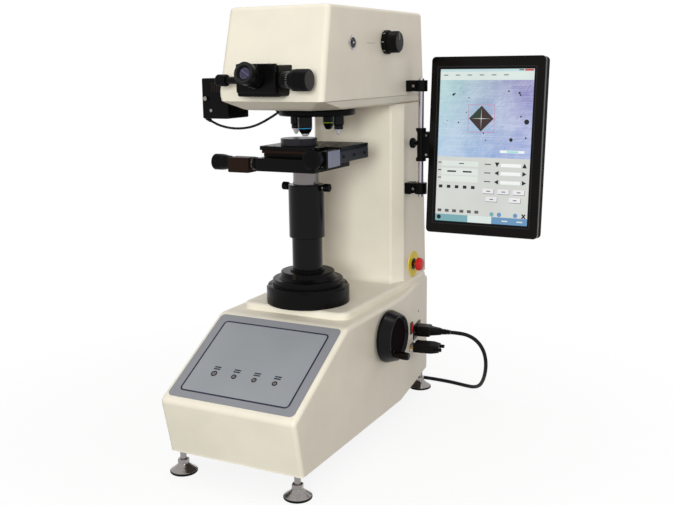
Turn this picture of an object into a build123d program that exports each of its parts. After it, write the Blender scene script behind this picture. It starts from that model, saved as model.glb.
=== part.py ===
# A low-load microhardness tester, in millimetres. The origin lies on the table below the axis of
# the elevating screw; +X is the operator's right, -Y the front and +Z up.

import math
import os

from build123d import *

os.makedirs("parts", exist_ok=True)

# Base housing: a sheet and casting box with a sloping front
base_half_width = 118.6
base_rear = 308.0
base_rear_half_width = 90.5
base_taper_y = 118.0
base_bottom = 37.7
plate_thick = 3.0
base_front = -238.0
knee_y = -258.0
ledge_z = 224.0
slope_deg = 29.56
slope_y = -92.6
slope_z = 221.5
wall = 4.0

# Plinth and column
plinth_top = 235.5
plinth_half_width = 98.0
plinth_front = -56.0
column_half_width = 90.0
column_front = 171.5
column_chamfer = (15.0, 24.5)
column_rear_top = 285.3
column_rake = 0.0578
column_wall = 6.0
foot_stub_top = 256.0
foot_cove = 13.0
arm_cove = 18.0

# Arm and head
arm_bottom = 555.0
arm_top = 569.5
head_top = 712.0
head_rear = 283.0
head_wall = 3.0
stub_bottom = 530.0

# Elevating gear
screw_radius = 18.0
post_radius = 21.35
stage_bottom = 457.0
wheel_y = 51.5
wheel_z = 174.3
nut_gear_radius = 35.7
pinion_radius = 15.3
running_gap = 0.06

# Stage
stage_axis_x_y = -46.5
stage_axis_x_z = 468.0
stage_axis_y_x = 56.3
stage_axis_y_z = 481.8
anvil_x = -12.0
anvil_radius = 30.0
anvil_top = 507.0

# Turret
turret_y = 40.2
station_radius = 40.2
turret_radius = 63.4
turret_bottom = 542.0

# Eyepiece and lamp
eyepiece_root = (0.0, -139.2, 603.9)
eyepiece_tilt = 13.5
eyepiece_length = 40.7
knob_y = -135.0
knob_z = 602.0

# Display
rod_x = 116.0
rod_y = 211.0
rod_radius = 5.0
display_x = 236.5
display_y = 195.0
display_z = 483.5
display_width = 199.0
display_height = 303.0
display_depth = 30.0
display_tilt = 4.6
window_width = 164.6
window_height = 260.4

# Feet
front_foot = (102.8, -225.6)
rear_foot = (83.5, 292.0)

# Rear right sockets, measured along the tapered side from its crease
side_normal = Vector(base_rear - base_taper_y, base_half_width - base_rear_half_width, 0).normalized()
side_along = Vector(-side_normal.Y, side_normal.X, 0)
inlet_place = (109.7, 136.8)
rocker_place = (71.2, 150.4)
rocker_tilt = 7.0
data_place = (77.0, 115.1)

# Leads: the lamp lead's way from its gland to the arm's, and the mains lead
lamp_lead_route = [
    (-138.5, -65.8, 536.6),
    (-129.5, -65.2, 531.8),
    (-117, -64.2, 527.6),
    (-99, -63, 524.6),
    (-79, -62, 524.9),
    (-60, -61.2, 528.4),
    (-43, -60.4, 535.2),
    (-30, -59.2, 542.2),
    (-21, -58.0, 547.4),
    (-14.8, -57.0, 551.6),
]
mains_lead = 1830.0
mains_radius = 3.5
lamp_lead_radius = 1.9
coil_outer = 48.0
coil_lead_in = 7.0
coil_tail = 50.0
coil_pitch = 7.5
coil_climb = 7.6
coil_centre = (-6.0, 386.0)


def block(low, high, mode=Mode.ADD):
    """A box between two opposite corners, in the piece being made."""
    sizes = [b - a for a, b in zip(low, high)]
    middle = Vector(*[(a + b) / 2 for a, b in zip(low, high)])
    with Locations(middle):
        Box(*sizes, mode=mode)


def rod(start, direction, radius, length, mode=Mode.ADD):
    """A round bar, or with Mode.SUBTRACT a bore, from a point along a direction."""
    with BuildSketch(Plane(origin=start, z_dir=direction)) as section:
        Circle(radius)
    extrude(section.sketch, amount=length, mode=mode)


def turned(start, direction, outline, mode=Mode.ADD):
    """A turned piece: its outline holds (distance along the axis, radius) corners."""
    along = Vector(*direction).normalized()
    across = Vector(1, 0, 0) if abs(along.X) < 0.1 else Vector(0, 0, 1)
    with BuildSketch(Plane(origin=start, x_dir=along, z_dir=across)) as half:
        with BuildLine():
            Polyline(*outline, close=True)
        make_face()
    revolve(half.sketch, axis=Axis(start, along), mode=mode)


def rear_y(z, inset=0.0):
    """Where the raked rear face of the column stands at a height."""
    return column_rear_top + (arm_bottom - z) * column_rake - inset


def column_length(bottom, top, inset):
    """A length of the column, or of the room inside it, as a solid."""
    with BuildPart() as length:
        with BuildSketch(Plane.YZ):
            with BuildLine():
                Polyline(
                    (column_front + inset, bottom),
                    (column_front + inset, top),
                    (rear_y(top, inset), top),
                    (rear_y(bottom, inset), bottom),
                    close=True,
                )
            make_face()
        extrude(amount=column_half_width - inset, both=True)
        with BuildSketch(Plane.XY.offset(bottom)):
            with BuildLine():
                Polyline(
                    (-column_half_width, column_front + column_chamfer[1]),
                    (column_chamfer[0] - column_half_width, column_front),
                    (column_half_width - column_chamfer[0], column_front),
                    (column_half_width, column_front + column_chamfer[1]),
                    (column_half_width, base_rear + 20),
                    (-column_half_width, base_rear + 20),
                    close=True,
                )
            make_face()
            offset(amount=-inset, kind=Kind.INTERSECTION)
        extrude(amount=top - bottom, mode=Mode.INTERSECT)
        uprights = [e for e in length.edges() if abs((e @ 1 - e @ 0).Z) > 0.9 * (top - bottom)]
        fillet(uprights, 6.0 - inset * 0.5)
    return length.part


def cove(z, radius, side):
    """The hollow fillet at the column's front, side 1 standing on a face, -1 hanging from one."""
    edge = column_front
    with BuildPart() as strip:
        with BuildSketch(Plane.YZ):
            with BuildLine():
                Line((edge + 3, z), (edge - radius, z))
                RadiusArc((edge - radius, z), (edge, z + side * radius), side * radius)
                Line((edge, z + side * radius), (edge + 3, z + side * radius))
                Line((edge + 3, z + side * radius), (edge + 3, z))
            make_face()
        extrude(amount=column_half_width - column_chamfer[0] - 2.0, both=True)
    return strip.part


def base_slope(y, drop=0.0):
    """Height of the sloping front at a place, or of a face that lies the drop below it."""
    return slope_z + (y - slope_y) * math.tan(math.radians(slope_deg)) - drop


def base_block(inset, bottom):
    """The base's outside without its plinth, or the room inside it."""
    drop = inset / math.cos(math.radians(slope_deg))
    top = ledge_z - inset
    ridge_y = slope_y + (top + drop - slope_z) / math.tan(math.radians(slope_deg))
    knee_front = knee_y + inset
    half = base_half_width - inset
    with BuildPart() as base:
        with BuildSketch(Plane.YZ):
            with BuildLine():
                Polyline(
                    (base_front + inset, bottom),
                    (knee_front, base_slope(knee_front, drop)),
                    (ridge_y, top),
                    (base_rear - inset, top),
                    (base_rear - inset, bottom),
                    close=True,
                )
            make_face()
        extrude(amount=half, both=True)
        with BuildSketch(Plane.XY.offset(bottom)):
            with BuildLine():
                Polyline(
                    (-half, knee_y - 10),
                    (half, knee_y - 10),
                    (half, base_taper_y),
                    (base_rear_half_width - inset, base_rear),
                    (inset - base_rear_half_width, base_rear),
                    (-half, base_taper_y),
                    close=True,
                )
            make_face()
        extrude(amount=ledge_z, mode=Mode.INTERSECT)
    return base.part


def plinth_block(inset, bottom, top):
    """The raised plinth under the column and the flange, or the room inside it."""
    half = plinth_half_width - inset
    slant = (base_half_width - base_rear_half_width) / (base_rear - base_taper_y)
    narrow_y = base_taper_y + (base_half_width - 0.6 - plinth_half_width) / slant
    rear = base_rear - 0.6 - inset
    rear_half = base_rear_half_width - 0.4 - inset
    with BuildPart() as plinth:
        with BuildSketch(Plane.XY.offset(bottom)):
            with BuildLine():
                Polyline(
                    (-half, plinth_front + inset),
                    (half, plinth_front + inset),
                    (half, narrow_y),
                    (rear_half, rear),
                    (-rear_half, rear),
                    (-half, narrow_y),
                    close=True,
                )
            make_face()
        extrude(amount=top - bottom)
        fronts = plinth.edges().filter_by(Axis.Z).group_by(Axis.Y)[0]
        fillet(fronts, 22.0 - inset)
    return plinth.part


def side_plane(place, lift=0.0):
    """A plane on the tapered right side, at a distance past the crease and a height."""
    crease = Vector(base_half_width, base_taper_y, 0)
    origin = crease + side_along * place[0] + side_normal * lift + Vector(0, 0, place[1])
    return Plane(origin=origin, x_dir=side_along, z_dir=side_normal)


# Base housing with the plinth and the column's foot
base_shape = base_block(0.0, base_bottom + plate_thick)
base_room = base_block(wall, base_bottom)
plinth_shape = plinth_block(0.0, ledge_z - 1, plinth_top)
plinth_room = plinth_block(wall, ledge_z - wall - 2, plinth_top - wall)
foot_shape = column_length(plinth_top - 1, foot_stub_top, 0.0)
foot_room = column_length(plinth_top - wall - 1, foot_stub_top + 1, column_wall)
foot_cove_shape = cove(plinth_top - 0.5, foot_cove, 1)

with BuildPart() as base_housing:
    add(base_shape)
    corners = [
        e
        for e in base_housing.edges()
        if e.center().Z > base_bottom + plate_thick + 1 and e.center().Y < base_rear - 2
    ]
    fillet(corners, 7.0)
    add(plinth_shape)
    plinth_rim = base_housing.edges().group_by(Axis.Z)[-1].sort_by(Axis.Y)[:-1]
    fillet(plinth_rim, 5.0)
    add(foot_shape)
    add(foot_cove_shape)
    add(base_room, mode=Mode.SUBTRACT)
    add(plinth_room, mode=Mode.SUBTRACT)
    add(foot_room, mode=Mode.SUBTRACT)
    rod((0, 0, ledge_z - 20), (0, 0, 1), 30.3, 40, Mode.SUBTRACT)
    rod((base_half_width - 20, wheel_y, wheel_z), (1, 0, 0), 10.0, 40, Mode.SUBTRACT)
    with BuildSketch(side_plane(rocker_place, 5)):
        Rectangle(12.4, 19.4)
    extrude(amount=-15, mode=Mode.SUBTRACT)
base_housing.part.label = "base_housing"

# Bottom plate with the bosses that the feet screw into and the bracket of the elevating gear
floor_z = base_bottom + plate_thick
nut_bottom = 160.2
foot_places = {
    "front_right": (front_foot[0], front_foot[1]),
    "front_left": (-front_foot[0], front_foot[1]),
    "rear_right": rear_foot,
    "rear_left": (-rear_foot[0], rear_foot[1]),
}
stud_radius = 5.0
boss_radius = 9.0
boss_top = 80.0
base_clear = base_block(wall + 0.2, base_bottom)
with BuildPart() as foot_bosses:
    for x, y in foot_places.values():
        rod((x, y, base_bottom), (0, 0, 1), boss_radius, boss_top - base_bottom)
    add(base_clear, mode=Mode.INTERSECT)
with BuildPart() as bottom_plate:
    with BuildSketch(Plane.XY.offset(base_bottom)):
        with BuildLine():
            Polyline(
                (-base_half_width, base_front),
                (base_half_width, base_front),
                (base_half_width, base_taper_y),
                (base_rear_half_width, base_rear),
                (-base_rear_half_width, base_rear),
                (-base_half_width, base_taper_y),
                close=True,
            )
        make_face()
    extrude(amount=plate_thick)
    sides = bottom_plate.edges().filter_by(Axis.Z).sort_by(Axis.Y)[:2]
    fillet(sides, 7.0)
    add(foot_bosses.part)
    for x, y in foot_places.values():
        rod((x, y, base_bottom - 1), (0, 0, 1), stud_radius + running_gap, boss_top, Mode.SUBTRACT)
    block((-66, -50, floor_z), (66, 74, floor_z + 8))
    turned(
        (0, 0, floor_z + 7),
        (0, 0, 1),
        [(0, 38), (0, 43), (nut_bottom - floor_z - 7.2, 43), (nut_bottom - floor_z - 7.2, 19.5)]
        + [(nut_bottom - floor_z - 15, 19.5), (nut_bottom - floor_z - 15, 38)],
    )
    rod((0, 0, floor_z - 1), (0, 0, 1), 22, 12, Mode.SUBTRACT)
    for x in (-58, 58):
        block((x - 7, wheel_y - 14, floor_z + 7), (x + 7, wheel_y + 14, wheel_z + 16))
    rod((-80, wheel_y, wheel_z), (1, 0, 0), 8.0 + running_gap, 160, Mode.SUBTRACT)
bottom_plate.part.label = "bottom_plate"

# Column and arm
column_shape = column_length(foot_stub_top, stub_bottom, 0.0)
column_room = column_length(foot_stub_top - 1, stub_bottom + 1, column_wall)
with BuildPart() as column_housing:
    add(column_shape)
    add(column_room, mode=Mode.SUBTRACT)
column_housing.part.label = "column_housing"

stub_shape = column_length(stub_bottom, arm_bottom + 1, 0.0)
stub_room = column_length(stub_bottom - 1, arm_top + 1, column_wall)
arm_cove_shape = cove(arm_bottom + 0.5, arm_cove, -1)
arm_floor = 6.0
lever_y = 150.0
lever_z = 612.0
with BuildPart() as arm_casting:
    with BuildSketch(Plane.XY.offset(arm_bottom)):
        with BuildLine():
            Polyline(
                (-86, 281), (86, 281), (86, -30), (58, -84), (-58, -84), (-86, -30), close=True
            )
        make_face()
    with BuildSketch(Plane.XY.offset(arm_top)):
        with BuildLine():
            Polyline(
                (-91, 281), (91, 281), (91, -103), (83, -111), (-83, -111), (-91, -103), close=True
            )
        make_face()
    loft(ruled=True)
    block((-76, -70, arm_bottom + arm_floor), (76, 165, arm_top + 1), Mode.SUBTRACT)
    add(stub_shape)
    add(arm_cove_shape)
    add(stub_room, mode=Mode.SUBTRACT)
    for x in (-24, 24):
        block((x - 5, lever_y - 12, arm_bottom + 3), (x + 5, lever_y + 12, lever_z + 12))
    rod((-40, lever_y, lever_z), (1, 0, 0), 5.0 + running_gap, 80, Mode.SUBTRACT)
    rod((0, turret_y, arm_bottom - 1), (0, 0, 1), 12.0 + running_gap, 20, Mode.SUBTRACT)
    rod((0, 0, arm_bottom - 1), (0, 0, 1), 11.0, 20, Mode.SUBTRACT)
    rod(lamp_lead_route[-1], Vector(*lamp_lead_route[-1]) - Vector(*lamp_lead_route[-2]), 2.9, 8)
arm_casting.part.label = "arm_casting"


def head_block(inset, bottom, top):
    """The tapered head cover's outside, or the room inside it."""
    with BuildPart() as head:
        with BuildSketch(Plane.XY.offset(bottom)):
            with BuildLine():
                Polyline(
                    (-93 + inset, head_rear - inset),
                    (93 - inset, head_rear - inset),
                    (93 - inset, -113 + inset),
                    (-93 + inset, -113 + inset),
                    close=True,
                )
            make_face()
        with BuildSketch(Plane.XY.offset(top)):
            with BuildLine():
                Polyline(
                    (-88 + inset, 281 - inset),
                    (88 - inset, 281 - inset),
                    (88 - inset, -78 + inset),
                    (-88 + inset, -78 + inset),
                    close=True,
                )
            make_face()
        loft(ruled=True)
    return head.part


head_shape = head_block(0.0, arm_top, head_top)
head_room = head_block(head_wall, arm_top - 0.01, head_top - head_wall)
selector_y = 116.5
selector_z = 658.7
port_x = 90.0
port_y = -9.2
port_z = 656.3
with BuildPart() as head_cover:
    add(head_shape)
    rim = [e for e in head_cover.edges() if e.center().Z > arm_top + 1]
    fillet(rim, 6.0)
    add(head_room, mode=Mode.SUBTRACT)
    block((-36.1, -130, 577.9), (36.1, -60, 624.1), Mode.SUBTRACT)
    rod((70, selector_y, selector_z), (1, 0, 0), 5.5, 40, Mode.SUBTRACT)
    turned(
        (port_x - 3, port_y, port_z),
        (1, 0, 0),
        [(0, 0), (0, 8), (2.6, 8), (4.6, 7.2), (4.6, 5.4), (3.4, 5.4), (3.4, 0)],
    )
head_cover.part.label = "head_cover"

cover_bottom = 300.0
cover_top = 500.0
cover_half_width = 62.0
cover_middle = (cover_bottom + cover_top) / 2
rear_plane = Plane(
    origin=(0, rear_y(cover_middle), cover_middle),
    x_dir=(-1, 0, 0),
    z_dir=(0, 1, column_rake),
)
with BuildPart() as rear_cover:
    with BuildSketch(rear_plane):
        RectangleRounded(2 * cover_half_width, cover_top - cover_bottom, 6)
    extrude(amount=1.5)
    with BuildSketch(rear_plane.offset(1.5)):
        with GridLocations(2 * cover_half_width - 14, cover_top - cover_bottom - 14, 2, 2):
            Circle(3.5)
    extrude(amount=2.0)
rear_cover.part.label = "rear_cover"

# Panel sheet and lamps on the slope
slope_plane = Plane(
    origin=(0, -170.35, base_slope(-170.35)),
    x_dir=(1, 0, 0),
    z_dir=(0, -math.sin(math.radians(slope_deg)), math.cos(math.radians(slope_deg))),
)
lamp_spacing = 36.1
lamp_shift = -1.0
lamp_t = -35.7
lamp_places = [(lamp_shift + (i - 1.5) * lamp_spacing, lamp_t) for i in range(4)]
lamp_radii = [4.0, 3.2, 3.2, 3.2]
with BuildPart() as panel_overlay:
    with BuildSketch(slope_plane):
        RectangleRounded(222.0, 179.2, 8)
        for place, radius in zip(lamp_places, lamp_radii):
            with Locations(place):
                Circle(radius, mode=Mode.SUBTRACT)
    extrude(amount=0.9)
panel_overlay.part.label = "panel_overlay"

with BuildPart() as indicator_lamps:
    for place, radius in zip(lamp_places, lamp_radii):
        with BuildSketch(slope_plane):
            with Locations(place):
                Circle(radius)
        extrude(amount=1.7)
indicator_lamps.part.label = "indicator_lamps"

# Stepped flange, sleeves and elevating screw
key_half_width = 2.9
key_depth = 2.8
with BuildPart() as column_flange:
    turned(
        (0, 0, 190.0),
        (0, 0, 1),
        [
            (0, 18.2),
            (0, 26),
            (plinth_top - 190, 26),
            (plinth_top - 190, 69.3),
            (71.0, 69.3),
            (73.5, 66.8),
            (75.6, 66.8),
            (75.6, 58.7),
            (84.8, 58.7),
            (86.0, 57.5),
            (86.0, 49.5),
            (90.0, 44.75),
            (96.8, 44.75),
            (98.0, 43.5),
            (98.0, 29.25),
            (101.0, 29.25),
            (101.0, 18.2),
        ],
    )
    block((-key_half_width, -19.5, 262), (key_half_width, key_depth - screw_radius, 288))
    rod((0, -46, 284), (0, 1, 0), 2.5, 6, Mode.SUBTRACT)
    turned((0, 0, 291), (0, 0, 1), [(0, 21.5), (0, 25.1), (74, 25.1), (75, 24.1), (75, 21.5)])
column_flange.part.label = "column_flange"

sleeve_bottom = 344.6
sleeve_top = 432.0
cap_thick = 11.0
with BuildPart() as upper_sleeve:
    turned(
        (0, 0, sleeve_bottom),
        (0, 0, 1),
        [
            (0, 25.5),
            (0, 28.7),
            (0.8, 29.5),
            (sleeve_top - sleeve_bottom - 1, 29.5),
            (sleeve_top - sleeve_bottom, 28.5),
            (sleeve_top - sleeve_bottom, screw_radius + 0.02),
            (sleeve_top - sleeve_bottom - cap_thick, screw_radius + 0.02),
            (sleeve_top - sleeve_bottom - cap_thick, 25.5),
        ],
    )
    rod((-40, 0, 427.5), (1, 0, 0), 2.5 + running_gap, 80, Mode.SUBTRACT)
upper_sleeve.part.label = "upper_sleeve"

screw_bottom = 95.0
with BuildPart() as elevating_screw:
    turned(
        (0, 0, screw_bottom),
        (0, 0, 1),
        [
            (0, 0),
            (0, screw_radius - 2),
            (2, screw_radius),
            (sleeve_top - screw_bottom, screw_radius),
            (sleeve_top - screw_bottom, post_radius - 0.6),
            (sleeve_top - screw_bottom + 0.6, post_radius),
            (stage_bottom - screw_bottom, post_radius),
            (stage_bottom - screw_bottom, 0),
        ],
    )
    block((-3, -screw_radius - 1, screw_bottom - 1), (3, 3 - screw_radius, 425), Mode.SUBTRACT)
elevating_screw.part.label = "elevating_screw"

with BuildPart() as nut_gear:
    with BuildSketch(Plane.XY.offset(wheel_z - 12)):
        Circle(nut_gear_radius)
        with PolarLocations(nut_gear_radius, 36):
            Rectangle(3.6, 3.0, mode=Mode.SUBTRACT)
    extrude(amount=24)
    rod((0, 0, nut_bottom), (0, 0, 1), 24, 28.4)
    rod((0, 0, nut_bottom - 1), (0, 0, 1), screw_radius + running_gap, 40, Mode.SUBTRACT)
nut_gear.part.label = "nut_gear"

with BuildPart() as wheel_shaft:
    rod((-70, wheel_y, wheel_z), (1, 0, 0), 8.0, 206)
    with BuildSketch(Plane(origin=(-15, wheel_y, wheel_z), z_dir=(1, 0, 0))):
        Circle(pinion_radius)
        with PolarLocations(pinion_radius, 12):
            Rectangle(4.0, 3.6, mode=Mode.SUBTRACT)
        Circle(8.0, mode=Mode.SUBTRACT)
    extrude(amount=30)
wheel_shaft.part.label = "wheel_shaft"

crank_y = 28.0
crank_z = 151.5
grip_start = 145.6
with BuildPart() as handwheel:
    turned(
        (119.4, wheel_y, wheel_z),
        (1, 0, 0),
        [
            (0, 8.0),
            (0, 14),
            (2.6, 14),
            (2.6, 43.4),
            (4.0, 44.6),
            (7.5, 44.6),
            (24.2, 39.4),
            (25.6, 38.2),
            (25.6, 36.8),
            (24.6, 35.6),
            (20.6, 34.0),
            (20.6, 13),
            (21.6, 12),
            (21.6, 8.0),
        ],
    )
    rod((136, crank_y, crank_z), (1, 0, 0), 5.6, grip_start - 0.3 - 136)
    rod((136, crank_y, crank_z), (1, 0, 0), 3.0, grip_start + 23 - 136)
handwheel.part.label = "handwheel"

with BuildPart() as crank_grip:
    turned(
        (grip_start, crank_y, crank_z),
        (1, 0, 0),
        [(0, 3.06), (0, 5.2), (1.5, 5.8), (12, 6.4), (23, 6.6), (25.4, 6.0), (26.4, 4.6), (26.4, 0)]
        + [(24, 0), (24, 3.06)],
    )
crank_grip.part.label = "crank_grip"

thumb_screws = {}
for name, side in (("left", -1), ("right", 1)):
    with BuildPart() as thumb_screw:
        turned(
            (side * 19.0, 0, 427.5),
            (side, 0, 0),
            [(0, 0), (0, 2.5), (11.2, 2.5), (11.2, 4.5), (14.5, 4.5), (14.5, 6.2), (15, 6.7), (24, 6.7)]
            + [(25, 5.8), (25, 0)],
        )
    thumb_screw.part.label = f"sleeve_screw_{name}"
    thumb_screws[name] = thumb_screw.part

# Micrometer stage
with BuildPart() as stage_base:
    block((-60, -60, stage_bottom), (48, 66, 478))
    fillet(stage_base.edges().filter_by(Axis.Z), 3.0)
    block((-61, 8, 470), (49, 28, 479), Mode.SUBTRACT)
    block((-34.5, -54, 461), (16.5, -21, 475), Mode.SUBTRACT)
    block((-34.5, -35.6, 474), (16.5, -22.4, 479), Mode.SUBTRACT)
    rod((-70, stage_axis_x_y, stage_axis_x_z), (1, 0, 0), 4.0 + running_gap, 102, Mode.SUBTRACT)
stage_base.part.label = "stage_base"

with BuildPart() as x_drive_housing:
    block((-113, -60, 453), (-73, -33, 477.6))
    fillet(x_drive_housing.edges().filter_by(Axis.X), 2.0)
    turned(
        (-73, stage_axis_x_y, stage_axis_x_z),
        (1, 0, 0),
        [(0, 0), (0, 9), (2, 9), (2, 10.5), (9, 10.5), (9, 9), (13, 9), (13, 0)],
    )
    rod((-120, stage_axis_x_y, stage_axis_x_z), (1, 0, 0), 4.0 + running_gap, 70, Mode.SUBTRACT)
x_drive_housing.part.label = "x_drive_housing"

with BuildPart() as x_knob:
    turned(
        (-146, stage_axis_x_y, stage_axis_x_z),
        (1, 0, 0),
        [(0, 0), (0, 12.2), (1, 13.15), (20, 13.15), (21, 12.2), (22, 12.2), (27, 11.2), (32.6, 10.6)]
        + [(32.6, 4), (174, 4), (175, 3), (175, 0)],
    )
x_knob.part.label = "x_knob"

with BuildPart() as x_slide:
    block((-58, -36, 478.3), (62.7, 78, 483.5))
    block((62.7, -22, 471), (74.7, 80, 488.7))
    block((62.7, -62, 467), (74.7, -22, 492.6))
    block((44, -68, 465), (74.7, -62, 492.6))
    block((-45, 8.06, 470.06), (33, 27.94, 479))
    block((-19, -34, 473.9), (1, -24, 479))
    block((-19, -53, 462.5), (1, -24, 474))
    block((-20.06, -40, 479.8), (0.06, 90, 484), Mode.SUBTRACT)
    block((50.4, -40, 478), (62.2, 24, 484), Mode.SUBTRACT)
    rod((-25, stage_axis_x_y, stage_axis_x_z), (1, 0, 0), 4.0 + running_gap, 30, Mode.SUBTRACT)
    rod((stage_axis_y_x, -70, stage_axis_y_z), (0, 1, 0), 2.5 + running_gap, 20, Mode.SUBTRACT)
x_slide.part.label = "x_slide"

plate_bottom = 489.0
plate_top = 495.6
with BuildPart() as stage_top:
    with BuildSketch(Plane.XY.offset(plate_bottom)):
        with BuildLine():
            Polyline(
                (-63.6, -39.4), (46, -39.4), (46, -19), (74.7, -19), (74.7, 80), (-63.6, 80), close=True
            )
        make_face()
    extrude(amount=plate_top - plate_bottom)
    outer = stage_top.edges().filter_by(Axis.Z)
    fillet(outer, 1.5)
    block((-61, -37, 483.8), (44, 78, plate_bottom))
    block((-20, -25, 479.86), (0, 65, 484))
    block((51, -15, 478.4), (61.6, -3, plate_bottom))
    rod((stage_axis_y_x, -20, stage_axis_y_z), (0, 1, 0), 2.5 + running_gap, 20, Mode.SUBTRACT)
    rod((anvil_x, 0, plate_top - 5), (0, 0, 1), 8.0, 10, Mode.SUBTRACT)
stage_top.part.label = "stage_top"

with BuildPart() as anvil:
    turned(
        (anvil_x, 0, plate_top - 5),
        (0, 0, 1),
        [
            (0, 0),
            (0, 8.0),
            (5, 8.0),
            (5, anvil_radius),
            (anvil_top - plate_top + 4.2, anvil_radius),
            (anvil_top - plate_top + 5, anvil_radius - 0.8),
            (anvil_top - plate_top + 5, 0),
        ],
    )
anvil.part.label = "anvil"

with BuildPart() as y_knob:
    turned(
        (stage_axis_y_x, -85, stage_axis_y_z),
        (0, 1, 0),
        [(0, 0), (0, 14.8), (1.2, 16), (13, 16), (14, 15), (14, 9), (16.8, 8), (16.8, 2.5), (106, 2.5)]
        + [(107, 1.5), (107, 0)],
    )
y_knob.part.label = "y_knob"

# Turret with its objectives and indenters
with BuildPart() as turret_disc:
    turned(
        (0, turret_y, turret_bottom),
        (0, 0, 1),
        [
            (0, 0),
            (0, turret_radius - 1.5),
            (1.5, turret_radius),
            (8.5, turret_radius),
            (10, turret_radius - 1.5),
            (10, 40),
            (12.8, 38),
            (12.8, 12),
            (19.3, 12),
            (19.3, 18),
            (25, 18),
            (26, 17),
            (26, 0),
        ],
    )
    for x, y in ((0, -1), (0, 1), (-1, 0), (1, 0)):
        rod(
            (x * station_radius, turret_y + y * station_radius, turret_bottom - 1),
            (0, 0, 1),
            7.0,
            9,
            Mode.SUBTRACT,
        )
turret_disc.part.label = "turret_disc"

thread_top = turret_bottom + 7.5
with BuildPart() as objective_long:
    turned(
        (0, turret_y - station_radius, thread_top),
        (0, 0, -1),
        [
            (0, 0),
            (0, 7.0),
            (7.5, 7.0),
            (7.5, 11.0),
            (9, 11.6),
            (28, 11.6),
            (33, 9.2),
            (33, 8.0),
            (37, 6.2),
            (39.3, 4.4),
            (39.3, 0),
        ],
    )
objective_long.part.label = "objective_long"

with BuildPart() as objective_short:
    turned(
        (0, turret_y + station_radius, thread_top),
        (0, 0, -1),
        [
            (0, 0),
            (0, 7.0),
            (7.5, 7.0),
            (7.5, 9.2),
            (8.5, 9.75),
            (24, 9.75),
            (28, 8.0),
            (33.8, 4.6),
            (33.8, 0),
        ],
    )
objective_short.part.label = "objective_short"

with BuildPart() as indenters:
    for side in (-1, 1):
        turned(
            (side * station_radius, turret_y, thread_top),
            (0, 0, -1),
            [
                (0, 0),
                (0, 7.0),
                (7.5, 7.0),
                (7.5, 9.0),
                (22, 9.0),
                (24, 7.5),
                (30, 7.5),
                (36, 4.0),
                (38, 3.4),
                (39.5, 0.6),
                (39.5, 0),
            ],
        )
indenters.part.label = "indenters"

# Load selector and loading lever in the head
with BuildPart() as load_selector:
    turned(
        (90.6, selector_y, selector_z),
        (1, 0, 0),
        [
            (-14, 0),
            (-14, 5.0),
            (0, 5.0),
            (0, 19.6),
            (6.4, 19.6),
            (7.4, 18.6),
            (7.4, 17.2),
            (9.4, 17.7),
            (24, 17.2),
            (25.4, 15.8),
            (25.4, 0),
        ],
    )
load_selector.part.label = "load_selector"

with BuildPart() as loading_lever:
    block((-7, 34, lever_z - 7), (7, 236, lever_z + 7))
    rod((-34, lever_y, lever_z), (1, 0, 0), 5.0, 68)
    rod((0, turret_y, 576), (0, 0, 1), 4.0, lever_z - 576)
    turned((0, 222, lever_z - 30), (0, 0, 1), [(0, 0), (0, 20), (24, 20), (24, 5), (34, 5), (34, 0)])
loading_lever.part.label = "loading_lever"

# Eyepiece
with BuildPart() as eyepiece_housing:
    block((-36, -140, 578), (36, -62, 624))
    fillet(eyepiece_housing.edges().filter_by(Axis.Y), 3.0)
    with BuildSketch(Plane(origin=(0, -140, 604.75), x_dir=(1, 0, 0), z_dir=(0, -1, 0))):
        Rectangle(68, 42.5)
    extrude(amount=7)
    chamfer(eyepiece_housing.faces().sort_by(Axis.Y)[0].edges(), 2.0)
    rod((-40, knob_y, knob_z), (1, 0, 0), 3.0 + running_gap, 20, Mode.SUBTRACT)
    rod((20, knob_y, knob_z), (1, 0, 0), 3.0 + running_gap, 30, Mode.SUBTRACT)
eyepiece_housing.part.label = "eyepiece_housing"

tube_axis = (0, -math.cos(math.radians(eyepiece_tilt)), math.sin(math.radians(eyepiece_tilt)))
eyecup_start = 28.5
with BuildPart() as eyepiece_tube:
    turned(
        eyepiece_root,
        tube_axis,
        [
            (6.0, 0),
            (6.0, 17),
            (15, 17),
            (15, 15.6),
            (16.5, 15.6),
            (16.5, 16.6),
            (24, 16.6),
            (24, 15),
            (eyecup_start - 0.1, 15),
            (eyecup_start - 0.1, 9),
            (eyepiece_length - 3, 9),
            (eyepiece_length - 3, 0),
        ],
    )
    block((-30, -147, 560), (30, -120, 640), Mode.SUBTRACT)
eyepiece_tube.part.label = "eyepiece_tube"

with BuildPart() as eyecup:
    turned(
        eyepiece_root,
        tube_axis,
        [
            (eyecup_start, 9.06),
            (eyecup_start, 15.6),
            (eyecup_start + 1, 16.4),
            (eyepiece_length - 1, 16.4),
            (eyepiece_length, 15.4),
            (eyepiece_length, 11.5),
            (eyepiece_length - 2.6, 9.06),
        ],
    )
eyecup.part.label = "eyecup"

with BuildPart() as measuring_drum:
    turned(
        (24, knob_y, knob_z),
        (1, 0, 0),
        [
            (0, 0),
            (0, 3),
            (12.6, 3),
            (12.6, 8),
            (16.7, 8),
            (16.7, 12.6),
            (33, 12.6),
            (33.7, 15),
            (34.7, 16),
            (60, 16),
            (61, 15),
            (61, 0),
        ],
    )
measuring_drum.part.label = "measuring_drum"

with BuildPart() as reticle_knob:
    turned(
        (-24, knob_y, knob_z),
        (-1, 0, 0),
        [(0, 0), (0, 3), (12.6, 3), (12.6, 5.5), (33, 5.5), (33, 8.4), (34, 9), (49.5, 9), (50.5, 8), (50.5, 0)],
    )
reticle_knob.part.label = "reticle_knob"

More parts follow.
